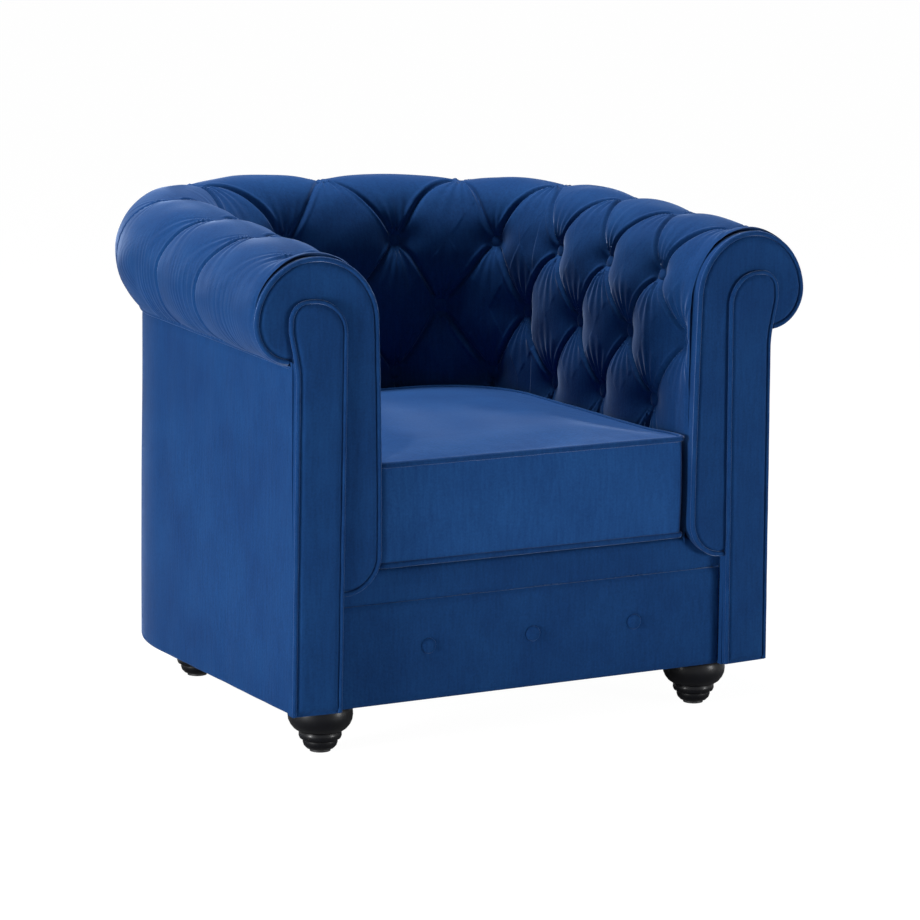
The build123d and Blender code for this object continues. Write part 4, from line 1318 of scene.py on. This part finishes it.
# ---------------------------------------------------------------- outside cover
@dataclass
class OutsideCover:
    """Flat cover round the outside of the arms, corners and back, turned under at the frame's foot."""

    tub: Tub
    thickness: float = 0.0062
    lean: float = 0.004
    cell: float = 0.0045
    fold: float = 0.0045

    def lay(self, along: Array, across: Array) -> Array:
        """Lays the cover: up its outside, then down its back.

        Args:
            along: Share of the way along the path.
            across: Share of the way across it.

        Returns:
            Rows of places.
        """
        run = along * 2 * self.tub.half
        near = self.tub.folded(run)[0]
        seam = self.tub.size("seam", near) - 0.0012
        foot = self.tub.foot + 0.0004
        outside = across < 0.9
        height = np.where(outside, across / 0.9, (1 - across) / 0.1)
        eased = np.where(outside, height**1.15, height)
        z = foot + (seam - foot) * eased
        rise = (z - foot) / self.fold
        under = np.where(rise < 1, self.fold * (1 - np.sqrt(np.clip(1 - (1 - rise) ** 2, 0, 1))), 0.0)
        share = (z - foot) / (seam - foot)
        outer = self.tub.wall - 0.0006 - self.lean * share - under
        bow = 0.0011 * np.sin(math.pi * share) * (0.5 + 0.5 * soft_waves(run, z, 0.35, seed=3))
        drag = 0.00035 * soft_waves(run * 3.0, z * 0.6, 0.22, seed=5)
        tuck = 0.0022 * np.exp(-(((seam - z) / 0.006) ** 2))
        n = np.where(outside, outer + bow + drag - tuck, self.tub.wall - self.thickness)
        x, y = self.tub.place(run, n)
        return np.stack([x, y, z], axis=1)

    def build(self) -> None:
        """Builds the cover and the welt in the joint over it."""
        columns = round(2 * self.tub.half / self.cell)
        made = wrapped_grid(columns, 130, self.lay)
        piece = finish_piece(made, "outside_cover", Finish.VELVET, sharp=math.radians(60))
        dress(piece, CHAIR, "left_outside_arm", "right_outside_arm", "outside_back", fill=1.0)
        run = np.linspace(0.001, 2 * self.tub.half - 0.001, 480)
        near = self.tub.folded(run)[0]
        x, y = self.tub.place(run, np.full_like(run, self.tub.wall - self.lean + 0.0006))
        path = np.stack([x, y, self.tub.size("seam", near) - 0.0012], axis=1)
        dress(piping("roll_welting", path, 0.0024), CHAIR, "roll_welt")


# ---------------------------------------------------------------- plump panels of the front
def plump_panel(
    name: str,
    outline: Array,
    back: float,
    proud: float,
    edge: float,
    dip: float,
    cell: float,
    groove: float = 0.0,
    relief: Callable[[Array, Array], Array] | None = None,
) -> bpy.types.Object:
    """Makes a padded panel on the chair's front: flat behind, softly rounded at its edge.

    Args:
        name: Name of the panel.
        outline: Rows of (x, z) round its edge.
        back: y of its flat back.
        proud: Thickness in the middle.
        edge: Width of its rounded edge.
        dip: How far the face falls back at the edge.
        cell: Size of its mesh's cells.
        groove: Width of the low rim that lies under a piping.
        relief: Gives a further height for each (x, z), in metres.

    Returns:
        The panel as an object.
    """
    made = bmesh.new()
    face = made.faces.new([made.verts.new((x, back, z)) for x, z in outline])
    lifted = bmesh.ops.extrude_face_region(made, geom=[face])
    front = [part for part in lifted["geom"] if isinstance(part, bmesh.types.BMFace)]
    lid = {vertex for part in front for vertex in part.verts}
    bmesh.ops.translate(made, verts=list(lid), vec=(0, -proud, 0))
    low, high = outline.min(axis=0), outline.max(axis=0)
    for axis, start, stop in ((0, low[0], high[0]), (2, low[1], high[1])):
        slice_along(made, axis, start, stop, cell, cell * 0.12)
    made = in_fixed_order(made)
    places = vertex_places(made)
    raised = places[:, 1] < back - proud * 0.5
    ring = np.vstack([outline, outline[:1]])
    inside = distance_to(ring, places[raised][:, [0, 2]])
    share = np.clip((inside - groove) / edge, 0, 1)
    height = proud - dip * (1 - np.sin(share * math.pi / 2)) ** 1.5
    if relief is not None:
        eased = smooth_step(inside / (edge * 1.5))
        height = height + relief(places[raised][:, 0], places[raised][:, 2]) * eased
    places[raised, 1] = back - height
    move_vertices(made, places)
    return finish_piece(made, name, Finish.VELVET, sharp=math.radians(50))


@dataclass
class ScrollFacing:
    """Scroll-shaped facing on an arm's front and the post panel raised on it, each edged with piping."""

    tub: Tub
    inner: float = 0.2576
    bottom: float = 0.2375
    top: float = 0.720
    corner: float = 0.057
    lean: float = 0.006
    shoulder: float = 0.628
    crest: float = 0.358
    widest: tuple[float, float] = (0.452, 0.635)
    neck: tuple[float, float] = (0.400, 0.572)
    piping_radius: float = 0.0036
    groove: float = 0.003375
    soft_edge: float = 0.011
    rim_dip: float = 0.60
    scroll_proud: float = 0.0085
    post_proud: float = 0.0065
    unevenness: float = 0.0005
    post_inner: float = 0.321
    post_outer: float = 0.3965
    post_lean: float = 0.007
    post_top: float = 0.662
    post_neck: tuple[float, float] = (0.391, 0.562)
    post_bulge: tuple[float, float] = (0.403, 0.618)
    post_shoulder: float = 0.401
    post_radii: tuple[float, float, float, float] = (0.150, 0.044, 0.030, 0.050)
    post_piping_radius: float = 0.0031
    splay: float = 0.065
    root: float = 0.006
    step: float = 0.004
    cell: float = 0.0032

    def edge(self, inset: float) -> list[Point]:
        """Draws the facing's piped edge, from its lower corner over the scroll to the neck.

        Args:
            inset: Distance from the widest edge, in metres.

        Returns:
            Points of the edge.
        """
        inner = self.inner + inset
        bottom = self.bottom + inset
        radius = self.corner - inset
        lower, _ = tangent_arc((inner + radius, bottom), (inner, bottom + radius), (-1, 0), 12)
        upper = arc_chain(
            (0, 1),
            (inner, bottom + radius),
            (inner + self.lean, self.shoulder),
            (self.crest, self.top - inset),
            (self.widest[0] - inset, self.widest[1]),
            (self.neck[0], self.neck[1] + inset),
        )
        return [(self.post_inner, bottom), (inner + radius, bottom), *lower, *upper]

    def post_edge(self, inset: float) -> list[Point]:
        """Draws the post panel's edge from its outer foot over the head to its inner foot.

        Args:
            inset: Distance from the widest edge, in metres.

        Returns:
            Points of the edge.
        """
        foot = self.tub.foot + inset
        corners = [
            (self.post_outer - inset, foot),
            (self.post_neck[0] - inset, self.post_neck[1]),
            (self.post_bulge[0] - inset, self.post_bulge[1]),
            (self.post_shoulder - inset, self.post_top - inset),
            (self.post_inner - self.post_lean + inset, self.post_top - inset),
            (self.post_inner + inset, foot),
        ]
        radii = [self.post_radii[0] + inset, *(radius - inset for radius in self.post_radii[1:])]
        return rounded_line(corners, radii)

    def forward(self, x: Array) -> Array:
        """Gives how far the splayed front stands forward: nothing outside, most at the seat."""
        return self.splay * np.clip(self.tub.wall - np.abs(x), 0, None)

    def build(self, side: str) -> None:
        """Builds the facing, the post panel and their pipings on one side.

        Args:
            side: "left" or "right".
        """
        low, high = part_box(f"{side}_scroll_facing")
        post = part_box(f"{side}_post_panel")[0].y
        wall = self.tub.wall - 0.0005
        foot = self.tub.foot
        drawn = self.edge(self.piping_radius * 0.5)
        drawn += [(wall, self.neck[1] + self.piping_radius), (wall, foot), (self.post_inner, foot)]
        self._cover(side, "facing_panel", "scroll_facing", drawn, high.y, high.y - low.y)
        drawn = self.post_edge(self.post_piping_radius * 0.5)
        self._cover(side, "post_cover", "post_panel", drawn, low.y, low.y - post)
        line = self.edge(self.piping_radius)
        self._pipe(side, "scroll", line, high.y - self.scroll_proud, self.piping_radius)
        line = self.post_edge(self.post_piping_radius)
        self._pipe(side, "post", line, low.y - self.post_proud, self.post_piping_radius)

    def _cover(
        self, side: str, kind: str, node: str, drawn: list[Point], back: float, proud: float
    ) -> None:
        """Covers one padded panel, with a low rim under its piping, and leans it with the splay.

        Args:
            side: "left" or "right".
            kind: The cover's name after its side.
            node: The CAD node's name after its side.
            drawn: Points of the edge.
            back: y of the cover's back.
            proud: How far it stands out.
        """
        panel = plump_panel(
            f"{side}_{kind}",
            even_line(drawn, self.step, closed=True)[:-1] * (SIDES[side], 1.0),
            back + self.root,
            proud + self.root + 0.001,
            self.soft_edge,
            proud * self.rim_dip,
            self.cell,
            self.groove,
            lambda x, z: self.unevenness * soft_waves(x, z, 0.10, seed=51),
        )
        places = np.array([vertex.co for vertex in panel.data.vertices])
        leaning = (places[:, 1] < back) | (kind == "post_cover")
        places[leaning, 1] -= self.forward(places[leaning, 0])
        panel.data.vertices.foreach_set("co", places.ravel())
        panel.data.update()
        dress(panel, CHAIR, f"{side}_{node}", fill=1.0)

    def _pipe(self, side: str, kind: str, drawn: list[Point], level: float, radius: float) -> None:
        """Sews one piping along a drawn edge, standing on the panel's rim.

        Args:
            side: "left" or "right".
            kind: "scroll" or "post".
            drawn: Points of the edge.
            level: y of the piping's middle at the outer edge.
            radius: Radius of the piping.
        """
        line = even_line(drawn, self.step)
        depth = level - self.forward(line[:, 0]) + radius * 0.3
        path = np.stack([line[:, 0] * SIDES[side], depth, line[:, 1]], axis=1)
        dress(piping(f"{side}_{kind}_cord", path, radius), CHAIR, f"{side}_{kind}_piping")


@dataclass
class FrontBorder:
    """Border under the seat: a lower panel with three covered buttons, and the band over it."""

    tub: Tub
    button_pitch: float = 0.172
    button_level: float = 0.1500
    dimple: float = 0.0034
    side_lap: float = 0.0012
    dimple_reach: float = 0.014
    fold_height: float = 0.0004
    fold_count: int = 9
    unevenness: float = 0.0005

    @property
    def buttons(self) -> tuple[float, float, float]:
        """Gives the x of the three buttons."""
        return -self.button_pitch, 0.0, self.button_pitch

    def _relief(self, x: Array, z: Array) -> Array:
        """Draws the cloth in at the buttons, with short folds round them.

        Args:
            x: x of each place.
            z: z of each place.

        Returns:
            Height in metres.
        """
        total = self.unevenness * soft_waves(x, z, 0.12, seed=21)
        for middle in self.buttons:
            aside, above = x - middle, z - self.button_level
            reach = np.hypot(aside, above)
            angle = np.arctan2(above, aside)
            total = total - self.dimple * np.exp(-((reach / self.dimple_reach) ** 1.4))
            fading = np.exp(-np.clip(reach - 0.012, 0, None) / 0.012)
            folds = np.cos(angle * self.fold_count + middle * 31) * fading
            total = total + self.fold_height * folds * smooth_step((reach - 0.009) / 0.006)
        return total

    def build(self) -> None:
        """Builds the panel, the band and the three buttons."""
        low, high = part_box("front_panel")
        wide = high.x + self.side_lap
        drawn = [(-wide, low.z), (wide, low.z), (wide, high.z), (-wide, high.z)]
        outline = even_line(drawn, 0.006, closed=True)[:-1]
        proud = high.y - low.y + 0.0020
        panel = plump_panel(
            "border_panel", outline, high.y, proud, edge=0.010, dip=0.0035, cell=0.004, relief=self._relief
        )
        dress(panel, CHAIR, "front_panel", fill=1.0)
        self._band()
        made = bmesh.new()
        for middle in self.buttons:
            spot = Vector((middle, low.y + self.dimple * 0.45, self.button_level))
            sew_button(made, spot, Vector((0, -1, 0)))
        piece = finish_piece(in_fixed_order(made), "border_buttons", Finish.BUTTON)
        dress(piece, CHAIR, "front_buttons")

    def _band(self) -> None:
        """Builds the band: its face, and the strip that runs back under the cushion."""
        low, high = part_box("front_band")
        face_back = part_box("front_panel")[1].y
        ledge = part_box("deck_pad")[0].z
        corners = [
            (low.y + 0.0030, low.z + 0.0001),
            (low.y + 0.0004, low.z + 0.006),
            (low.y - 0.0008, low.z + 0.5 * (high.z - low.z)),
            (low.y + 0.0006, high.z - 0.010),
            (low.y + 0.0035, high.z - 0.0030),
            (low.y + 0.0095, high.z),
            (high.y, high.z),
            (high.y, ledge),
            (face_back, ledge),
            (face_back, low.z + 0.0005),
        ]
        line = even_line(corners, 0.003, closed=True)
        half = high.x + self.side_lap
        marks = np.linspace(0, 1, len(line))

        def lay(along: Array, across: Array) -> Array:
            """Places the band's cloth.

            Args:
                along: Share of the way along the path.
                across: Share of the way across it.

            Returns:
                Rows of places.
            """
            x = (along * 2 - 1) * half
            y = np.interp(across, marks, line[:, 0]) + 0.0004 * soft_waves(x, across * 0.1, 0.09, seed=31)
            return np.stack([x, y, np.interp(across, marks, line[:, 1])], axis=1)

        made = wrapped_grid(108, len(line) - 1, lay)
        piece = finish_piece(made, "seat_band", Finish.VELVET, sharp=math.radians(60))
        dress(piece, CHAIR, "front_band", fill=1.0)


# ---------------------------------------------------------------- loose cushion
@dataclass
class SeatCushion:
    """Loose boxed cushion: two crowned panels and a boxing, with piping in both seams."""

    tub: Tub
    front: float = from_box("cushion_top_piping", 0, "y")
    wide: float = from_box("cushion_top_piping", 1, "x")
    rear: float = from_box("cushion_top_piping", 1, "y")
    bottom: float = from_box("cushion_bottom_piping", 0, "z")
    top: float = from_box("cushion_top_piping", 1, "z")
    narrow: float = 0.2454
    corner: float = 0.014
    taper_front: float = -0.355
    taper_length: float = 0.070
    radius: float = 0.0045
    crown: float = 0.0150
    crown_reach: float = 0.115
    crown_share: float = 0.62
    seam_reach: float = 0.03
    bulge: float = 0.0042
    cell: float = 0.0085
    pressure: float = 4.0
    frames: int = 20

    def outline(self, inset: float) -> Array:
        """Draws the cushion's plan inset from its widest, as a closed line.

        Args:
            inset: Distance from the widest edge, in metres.

        Returns:
            Rows of (x, y), the first repeated at the end.
        """
        front, wide, narrow = self.front + inset, self.wide - inset, self.narrow - inset
        corner = self.corner - min(inset, self.corner * 0.6)
        turn = narrow - self.tub.corner_x
        turn_y = self.rear - inset - turn
        middle = ((wide + narrow) / 2, self.taper_front + self.taper_length / 2)
        right = [(wide - corner, front)]
        right += tangent_arc((wide - corner, front), (wide, front + corner), (1, 0), 8)[0]
        right += [(wide, self.taper_front)]
        right += tangent_arc((wide, self.taper_front), middle, (0, 1), 8)[0]
        lower, _ = tangent_arc((narrow, self.taper_front + self.taper_length), middle, (0, -1), 8)
        right += [*reversed(lower[:-1]), (narrow, self.taper_front + self.taper_length), (narrow, turn_y)]
        right += tangent_arc((narrow, turn_y), (self.tub.corner_x, turn_y + turn), (0, 1), 24)[0]
        left = [(-x, y) for x, y in reversed(right)]
        return even_line(right + left, 0.006, closed=True)

    def _case(self) -> bmesh.types.BMesh:
        """Cuts the case: a flat block whose faces are meshed for the simulation.

        Returns:
            The meshed case.
        """
        made = bmesh.new()
        ring = self.outline(self.radius)[:-1]
        low = self.bottom + self.radius * 0.6
        high = self.top - self.radius * 0.6
        base = made.faces.new([made.verts.new((x, y, low)) for x, y in ring])
        lifted = bmesh.ops.extrude_face_region(made, geom=[base])
        lid = [part for part in lifted["geom"] if isinstance(part, bmesh.types.BMVert)]
        bmesh.ops.translate(made, verts=lid, vec=(0, 0, high - low))
        extents = ((-self.wide, self.wide), (self.front, self.rear), (low, high))
        for axis, (start, stop) in enumerate(extents):
            slice_along(made, axis, start, stop, self.cell, WELD)
        made = in_fixed_order(made)
        bmesh.ops.remove_doubles(made, verts=made.verts, dist=0.0006)
        bmesh.ops.recalc_face_normals(made, faces=made.faces)
        made = in_fixed_order(made)
        bmesh.ops.triangulate(made, faces=[face for face in made.faces if len(face.verts) > 4])
        return in_fixed_order(made)

    def _inflate(self, piece: bpy.types.Object, held: list[int]) -> Array:
        """Blows the case up with its seams held.

        Args:
            piece: The flat case.
            held: Vertices in the two seams.

        Returns:
            Rows of the simulated places.
        """
        group = piece.vertex_groups.new(name="seams")
        group.add(held, 1.0, "REPLACE")
        cloth = piece.modifiers.new("Cloth", "CLOTH")
        settings = {
            "quality": 6,
            "use_pressure": True,
            "uniform_pressure_force": self.pressure,
            "vertex_group_mass": group.name,
            "tension_stiffness": 30,
            "compression_stiffness": 30,
            "shear_stiffness": 12,
            "bending_stiffness": 1.5,
        }
        for name, value in settings.items():
            setattr(cloth.settings, name, value)
        cloth.settings.effector_weights.gravity = 0
        cloth.collision_settings.use_collision = False
        scene = bpy.context.scene
        for number in range(1, self.frames + 1):
            scene.frame_set(number)
        shown = piece.evaluated_get(bpy.context.evaluated_depsgraph_get()).to_mesh()
        places = np.zeros(len(shown.vertices) * 3)
        shown.vertices.foreach_get("co", places)
        piece.modifiers.remove(cloth)
        piece.vertex_groups.remove(group)
        scene.frame_set(1)
        return places.reshape(-1, 3)

    def build(self) -> None:
        """Builds the stuffed cover and its two pipings; the cover also hides the core and the zip."""
        made = self._case()
        flat = vertex_places(made)
        low, high = flat[:, 2].min(), flat[:, 2].max()
        ring = self.outline(self.radius)
        inside = distance_to(ring, flat[:, :2])
        on_edge = inside < 1e-4
        seam = on_edge & ((flat[:, 2] < low + 1e-4) | (flat[:, 2] > high - 1e-4))
        # The cover takes the lit copy of the velvet, whose lighter base colour is painted light.
        piece = finish_piece(made, "stuffed_cushion", Finish.CUSHION, sharp=math.radians(50))
        swollen = flat
        swollen = self._inflate(piece, np.flatnonzero(seam).tolist())
        moved = swollen - flat
        share = smooth_step(inside / self.crown_reach)
        top = (flat[:, 2] > high - 1e-4) & ~seam
        under = (flat[:, 2] < low + 1e-4) & ~seam
        boxing = on_edge & ~seam
        places = flat.copy()
        blown = np.tanh(np.abs(moved[:, 2]) / 0.012)
        swelling = blown * smooth_step(inside / self.seam_reach)
        settled = self.crown * (self.crown_share * share + (1 - self.crown_share) * swelling)
        waves = 0.0009 * soft_waves(flat[:, 0], flat[:, 1], 0.16, seed=41)
        ripples = 0.0006 * soft_waves(flat[:, 0] * 2.5, flat[:, 1], 0.05, seed=42) * np.exp(-inside / 0.05)
        lift = settled + (waves + ripples) * smooth_step(inside / 0.02)
        places[top, 2] += lift[top]
        places[under, 2] += 0.0012
        level = np.sin(math.pi * (flat[:, 2] - low) / (high - low))
        centre = np.array([0.0, self.tub.corner_y * 0.3])
        out = flat[:, :2] - centre
        out /= np.linalg.norm(out, axis=1)[:, None]
        side = np.hypot(*moved[:, :2].T) / 0.010
        swell = self.bulge * np.clip(level, 0, 1) ** 0.7 * (0.6 + 0.4 * np.tanh(side))
        rumple = soft_waves(flat[:, 0] + flat[:, 1], flat[:, 2] * 0.4, 0.05, seed=43)
        swell = swell + 0.0004 * rumple * level
        frontal = boxing & (flat[:, 1] < self.front + self.radius + 1e-3)
        places[boxing, :2] += (out * swell[:, None])[boxing] * 0.8
        places[frontal, 0] = flat[frontal, 0]
        places[frontal, 1] = flat[frontal, 1] - 1.25 * swell[frontal]
        piece.data.vertices.foreach_set("co", places.ravel())
        piece.data.update()
        divide = piece.modifiers.new("Smooth cloth", "SUBSURF")
        divide.levels = divide.render_levels = 1
        dress(piece, CUSHION, "cushion_cover", "cushion_core", "cushion_zip", fill=0.85)
        for name, level_z in (("bottom", self.bottom + self.radius), ("top", self.top - self.radius)):
            line = self.outline(self.radius)
            path = np.column_stack([line, np.full(len(line), level_z)])
            cord = piping(f"cushion_{name}_cord", path, self.radius, closed=True)
            dress(cord, CUSHION, f"cushion_{name}_piping")


# ---------------------------------------------------------------- feet
@dataclass
class Foot:
    """Turned foot: a bun on a ring and a rounded toe."""

    place: str
    steps: int = 64
    profile: tuple[Point, ...] = (
        (0.0, 0.003), (0.015, 0.003), (0.0198, 0.0045), (0.0236, 0.0085), (0.0252, 0.0135),
        (0.0248, 0.0165), (0.0262, 0.0176), (0.0295, 0.0192), (0.031, 0.023), (0.0308, 0.0268),
        (0.0296, 0.0296), (0.033, 0.0306), (0.0385, 0.0345), (0.0432, 0.0405), (0.0461, 0.047),
        (0.047, 0.054), (0.0465, 0.061), (0.045, 0.067), (0.043, 0.0702), (0.0, 0.0702),
    )

    def build(self) -> None:
        """Turns the foot and softens its edges."""
        low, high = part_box(f"{self.place}_foot")
        x, y = (low.x + high.x) / 2, (low.y + high.y) / 2
        made = bmesh.new()
        line = [made.verts.new((x + radius, y, z)) for radius, z in self.profile]
        edges = [made.edges.new(pair) for pair in zip(line, line[1:])]
        spin_round(made, [*line, *edges], (x, y), self.steps)
        bmesh.ops.remove_doubles(made, verts=made.verts, dist=WELD)
        made = in_fixed_order(made)
        piece = finish_piece(made, f"{self.place}_bun_foot", Finish.TURNED, sharp=math.radians(42))
        dress(piece, CHAIR, f"{self.place}_foot")


# ---------------------------------------------------------------- pieces kept from the frame
def dress_kept_nodes() -> None:
    """Gives every CAD node that still shows the finish of its record slot."""
    finishes = {finish.value.slot: finish for finish in Finish}
    slots = {part["node"]: part["material_slot"] for part in frame["record"]["subparts"]}
    for name, node in frame["nodes"].items():
        material = finishes[slots[name]].material()
        for place in node.material_slots:
            place.material = material
        if not node.hide_render:
            LOG.info("%s keeps its CAD shape in %s", name, material.name)


# ---------------------------------------------------------------- stage, light and camera
@dataclass
class Studio:
    """White floor and surround, soft lights on the left, overhead and in front, and the camera."""

    azimuth: float = -29.23
    elevation: float = 10.38
    roll: float = 0.58
    distance: float = 5.632
    target: tuple[float, float, float] = (0.0622, -0.0450, 0.3457)
    lens: float = 144.43
    sensor: float = 36.0
    fill: float = 0.125
    lamps: tuple[tuple[str, Triple, Triple, float, float], ...] = (
        ("key", (-3.9, -0.9, 0.60), (0.0, -0.1, 0.42), 0.8, 165.0),
        ("overhead", (-0.10, 0.65, 2.9), (0.0, -0.15, 0.4), 0.9, 112.0),
        ("front_fill", (2.4, -3.4, 0.45), (0.0, -0.3, 0.3), 1.0, 92.0),
    )

    def build(self) -> None:
        """Builds the stage, the lights and the camera."""
        self._floor()
        self._world()
        for lamp in self.lamps:
            self._lamp(*lamp)
        self._camera()
        bpy.context.scene.view_settings.view_transform = "Standard"

    def _floor(self) -> None:
        """Lays the floor: white to the camera, with the chair's soft shadow left in it."""
        made = bmesh.new()
        bmesh.ops.create_grid(made, x_segments=1, y_segments=1, size=30.0)
        mesh = bpy.data.meshes.new("studio_floor")
        made.to_mesh(mesh)
        made.free()
        floor = bpy.data.objects.new("studio_floor", mesh)
        bpy.context.scene.collection.objects.link(floor)
        material, tree = new_material("studio_white")
        seen = add_node(tree, "ShaderNodeLightPath")
        matt = add_node(tree, "ShaderNodeBsdfDiffuse", {"Color": grey(0.8)})
        pale = add_node(tree, "ShaderNodeBsdfDiffuse", {"Color": grey(0.10)})
        glow = add_node(tree, "ShaderNodeEmission", {"Color": grey(0.98), "Strength": 1.0})
        lit = add_node(tree, "ShaderNodeAddShader", links={0: pale.outputs[0], 1: glow.outputs[0]})
        shown = add_node(
            tree,
            "ShaderNodeMixShader",
            links={0: seen.outputs["Is Camera Ray"], 1: matt.outputs[0], 2: lit.outputs[0]},
        )
        add_node(tree, "ShaderNodeOutputMaterial", links={"Surface": shown.outputs[0]})
        mesh.materials.append(material)

    def _world(self) -> None:
        """Sets a white surround for the eye and for gloss, and a dimmer one as fill light."""
        world = bpy.data.worlds.new("studio")
        bpy.context.scene.world = world
        world.use_nodes = True
        tree = world.node_tree
        tree.nodes.clear()
        seen = add_node(tree, "ShaderNodeLightPath")
        either = add_node(
            tree,
            "ShaderNodeMath",
            {"operation": "MAXIMUM"},
            {0: seen.outputs["Is Camera Ray"], 1: seen.outputs["Is Glossy Ray"]},
        )
        fill = add_node(tree, "ShaderNodeBackground", {"Color": grey(1.0), "Strength": self.fill})
        white = add_node(tree, "ShaderNodeBackground", {"Color": grey(1.0), "Strength": 1.0})
        mixed = add_node(
            tree,
            "ShaderNodeMixShader",
            links={0: either.outputs[0], 1: fill.outputs[0], 2: white.outputs[0]},
        )
        add_node(tree, "ShaderNodeOutputWorld", links={"Surface": mixed.outputs[0]})

    @staticmethod
    def _lamp(name: str, place: Triple, aim: Triple, size: float, power: float) -> None:
        """Hangs one square soft light and points it.

        Args:
            name: Name of the light.
            place: Where it hangs.
            aim: Point that it faces.
            size: Length of its side.
            power: Power in watts.
        """
        light = bpy.data.lights.new(name, "AREA")
        light.shape = "SQUARE"
        light.size = size
        light.energy = power
        lamp = bpy.data.objects.new(name, light)
        lamp.location = place
        lamp.rotation_euler = (Vector(aim) - Vector(place)).to_track_quat("-Z", "Y").to_euler()
        bpy.context.scene.collection.objects.link(lamp)

    def _camera(self) -> None:
        """Sets the camera up at its angle, with its slight roll."""
        azimuth, elevation, roll = (math.radians(a) for a in (self.azimuth, self.elevation, self.roll))
        back = Vector(
            (
                math.sin(azimuth) * math.cos(elevation),
                -math.cos(azimuth) * math.cos(elevation),
                math.sin(elevation),
            )
        )
        right = Vector((math.cos(azimuth), math.sin(azimuth), 0.0))
        up = back.cross(right)
        across = right * math.cos(roll) + up * math.sin(roll)
        upright = -right * math.sin(roll) + up * math.cos(roll)
        data = bpy.data.cameras.new("view")
        data.sensor_width = self.sensor
        data.lens = self.lens
        camera = bpy.data.objects.new("view", data)
        turn = Matrix((across, upright, back)).transposed().to_4x4()
        turn.translation = Vector(self.target) + back * self.distance
        camera.matrix_world = turn
        bpy.context.scene.collection.objects.link(camera)
        bpy.context.scene.camera = camera


def main() -> None:
    """Builds the chair's pieces in order, then the studio."""
    tub = Tub()
    wall = PaddedWall(tub, Tufting(tub))
    wall.build()
    wall.build_buttons()
    OutsideCover(tub).build()
    for side in SIDES:
        ScrollFacing(tub).build(side)
    FrontBorder(tub).build()
    SeatCushion(tub).build()
    for place in ("front_left", "front_right", "rear_left", "rear_right"):
        Foot(place).build()
    dress_kept_nodes()
    Studio().build()


if __name__ == "__main__":
    logging.basicConfig(level=logging.INFO)
    main()
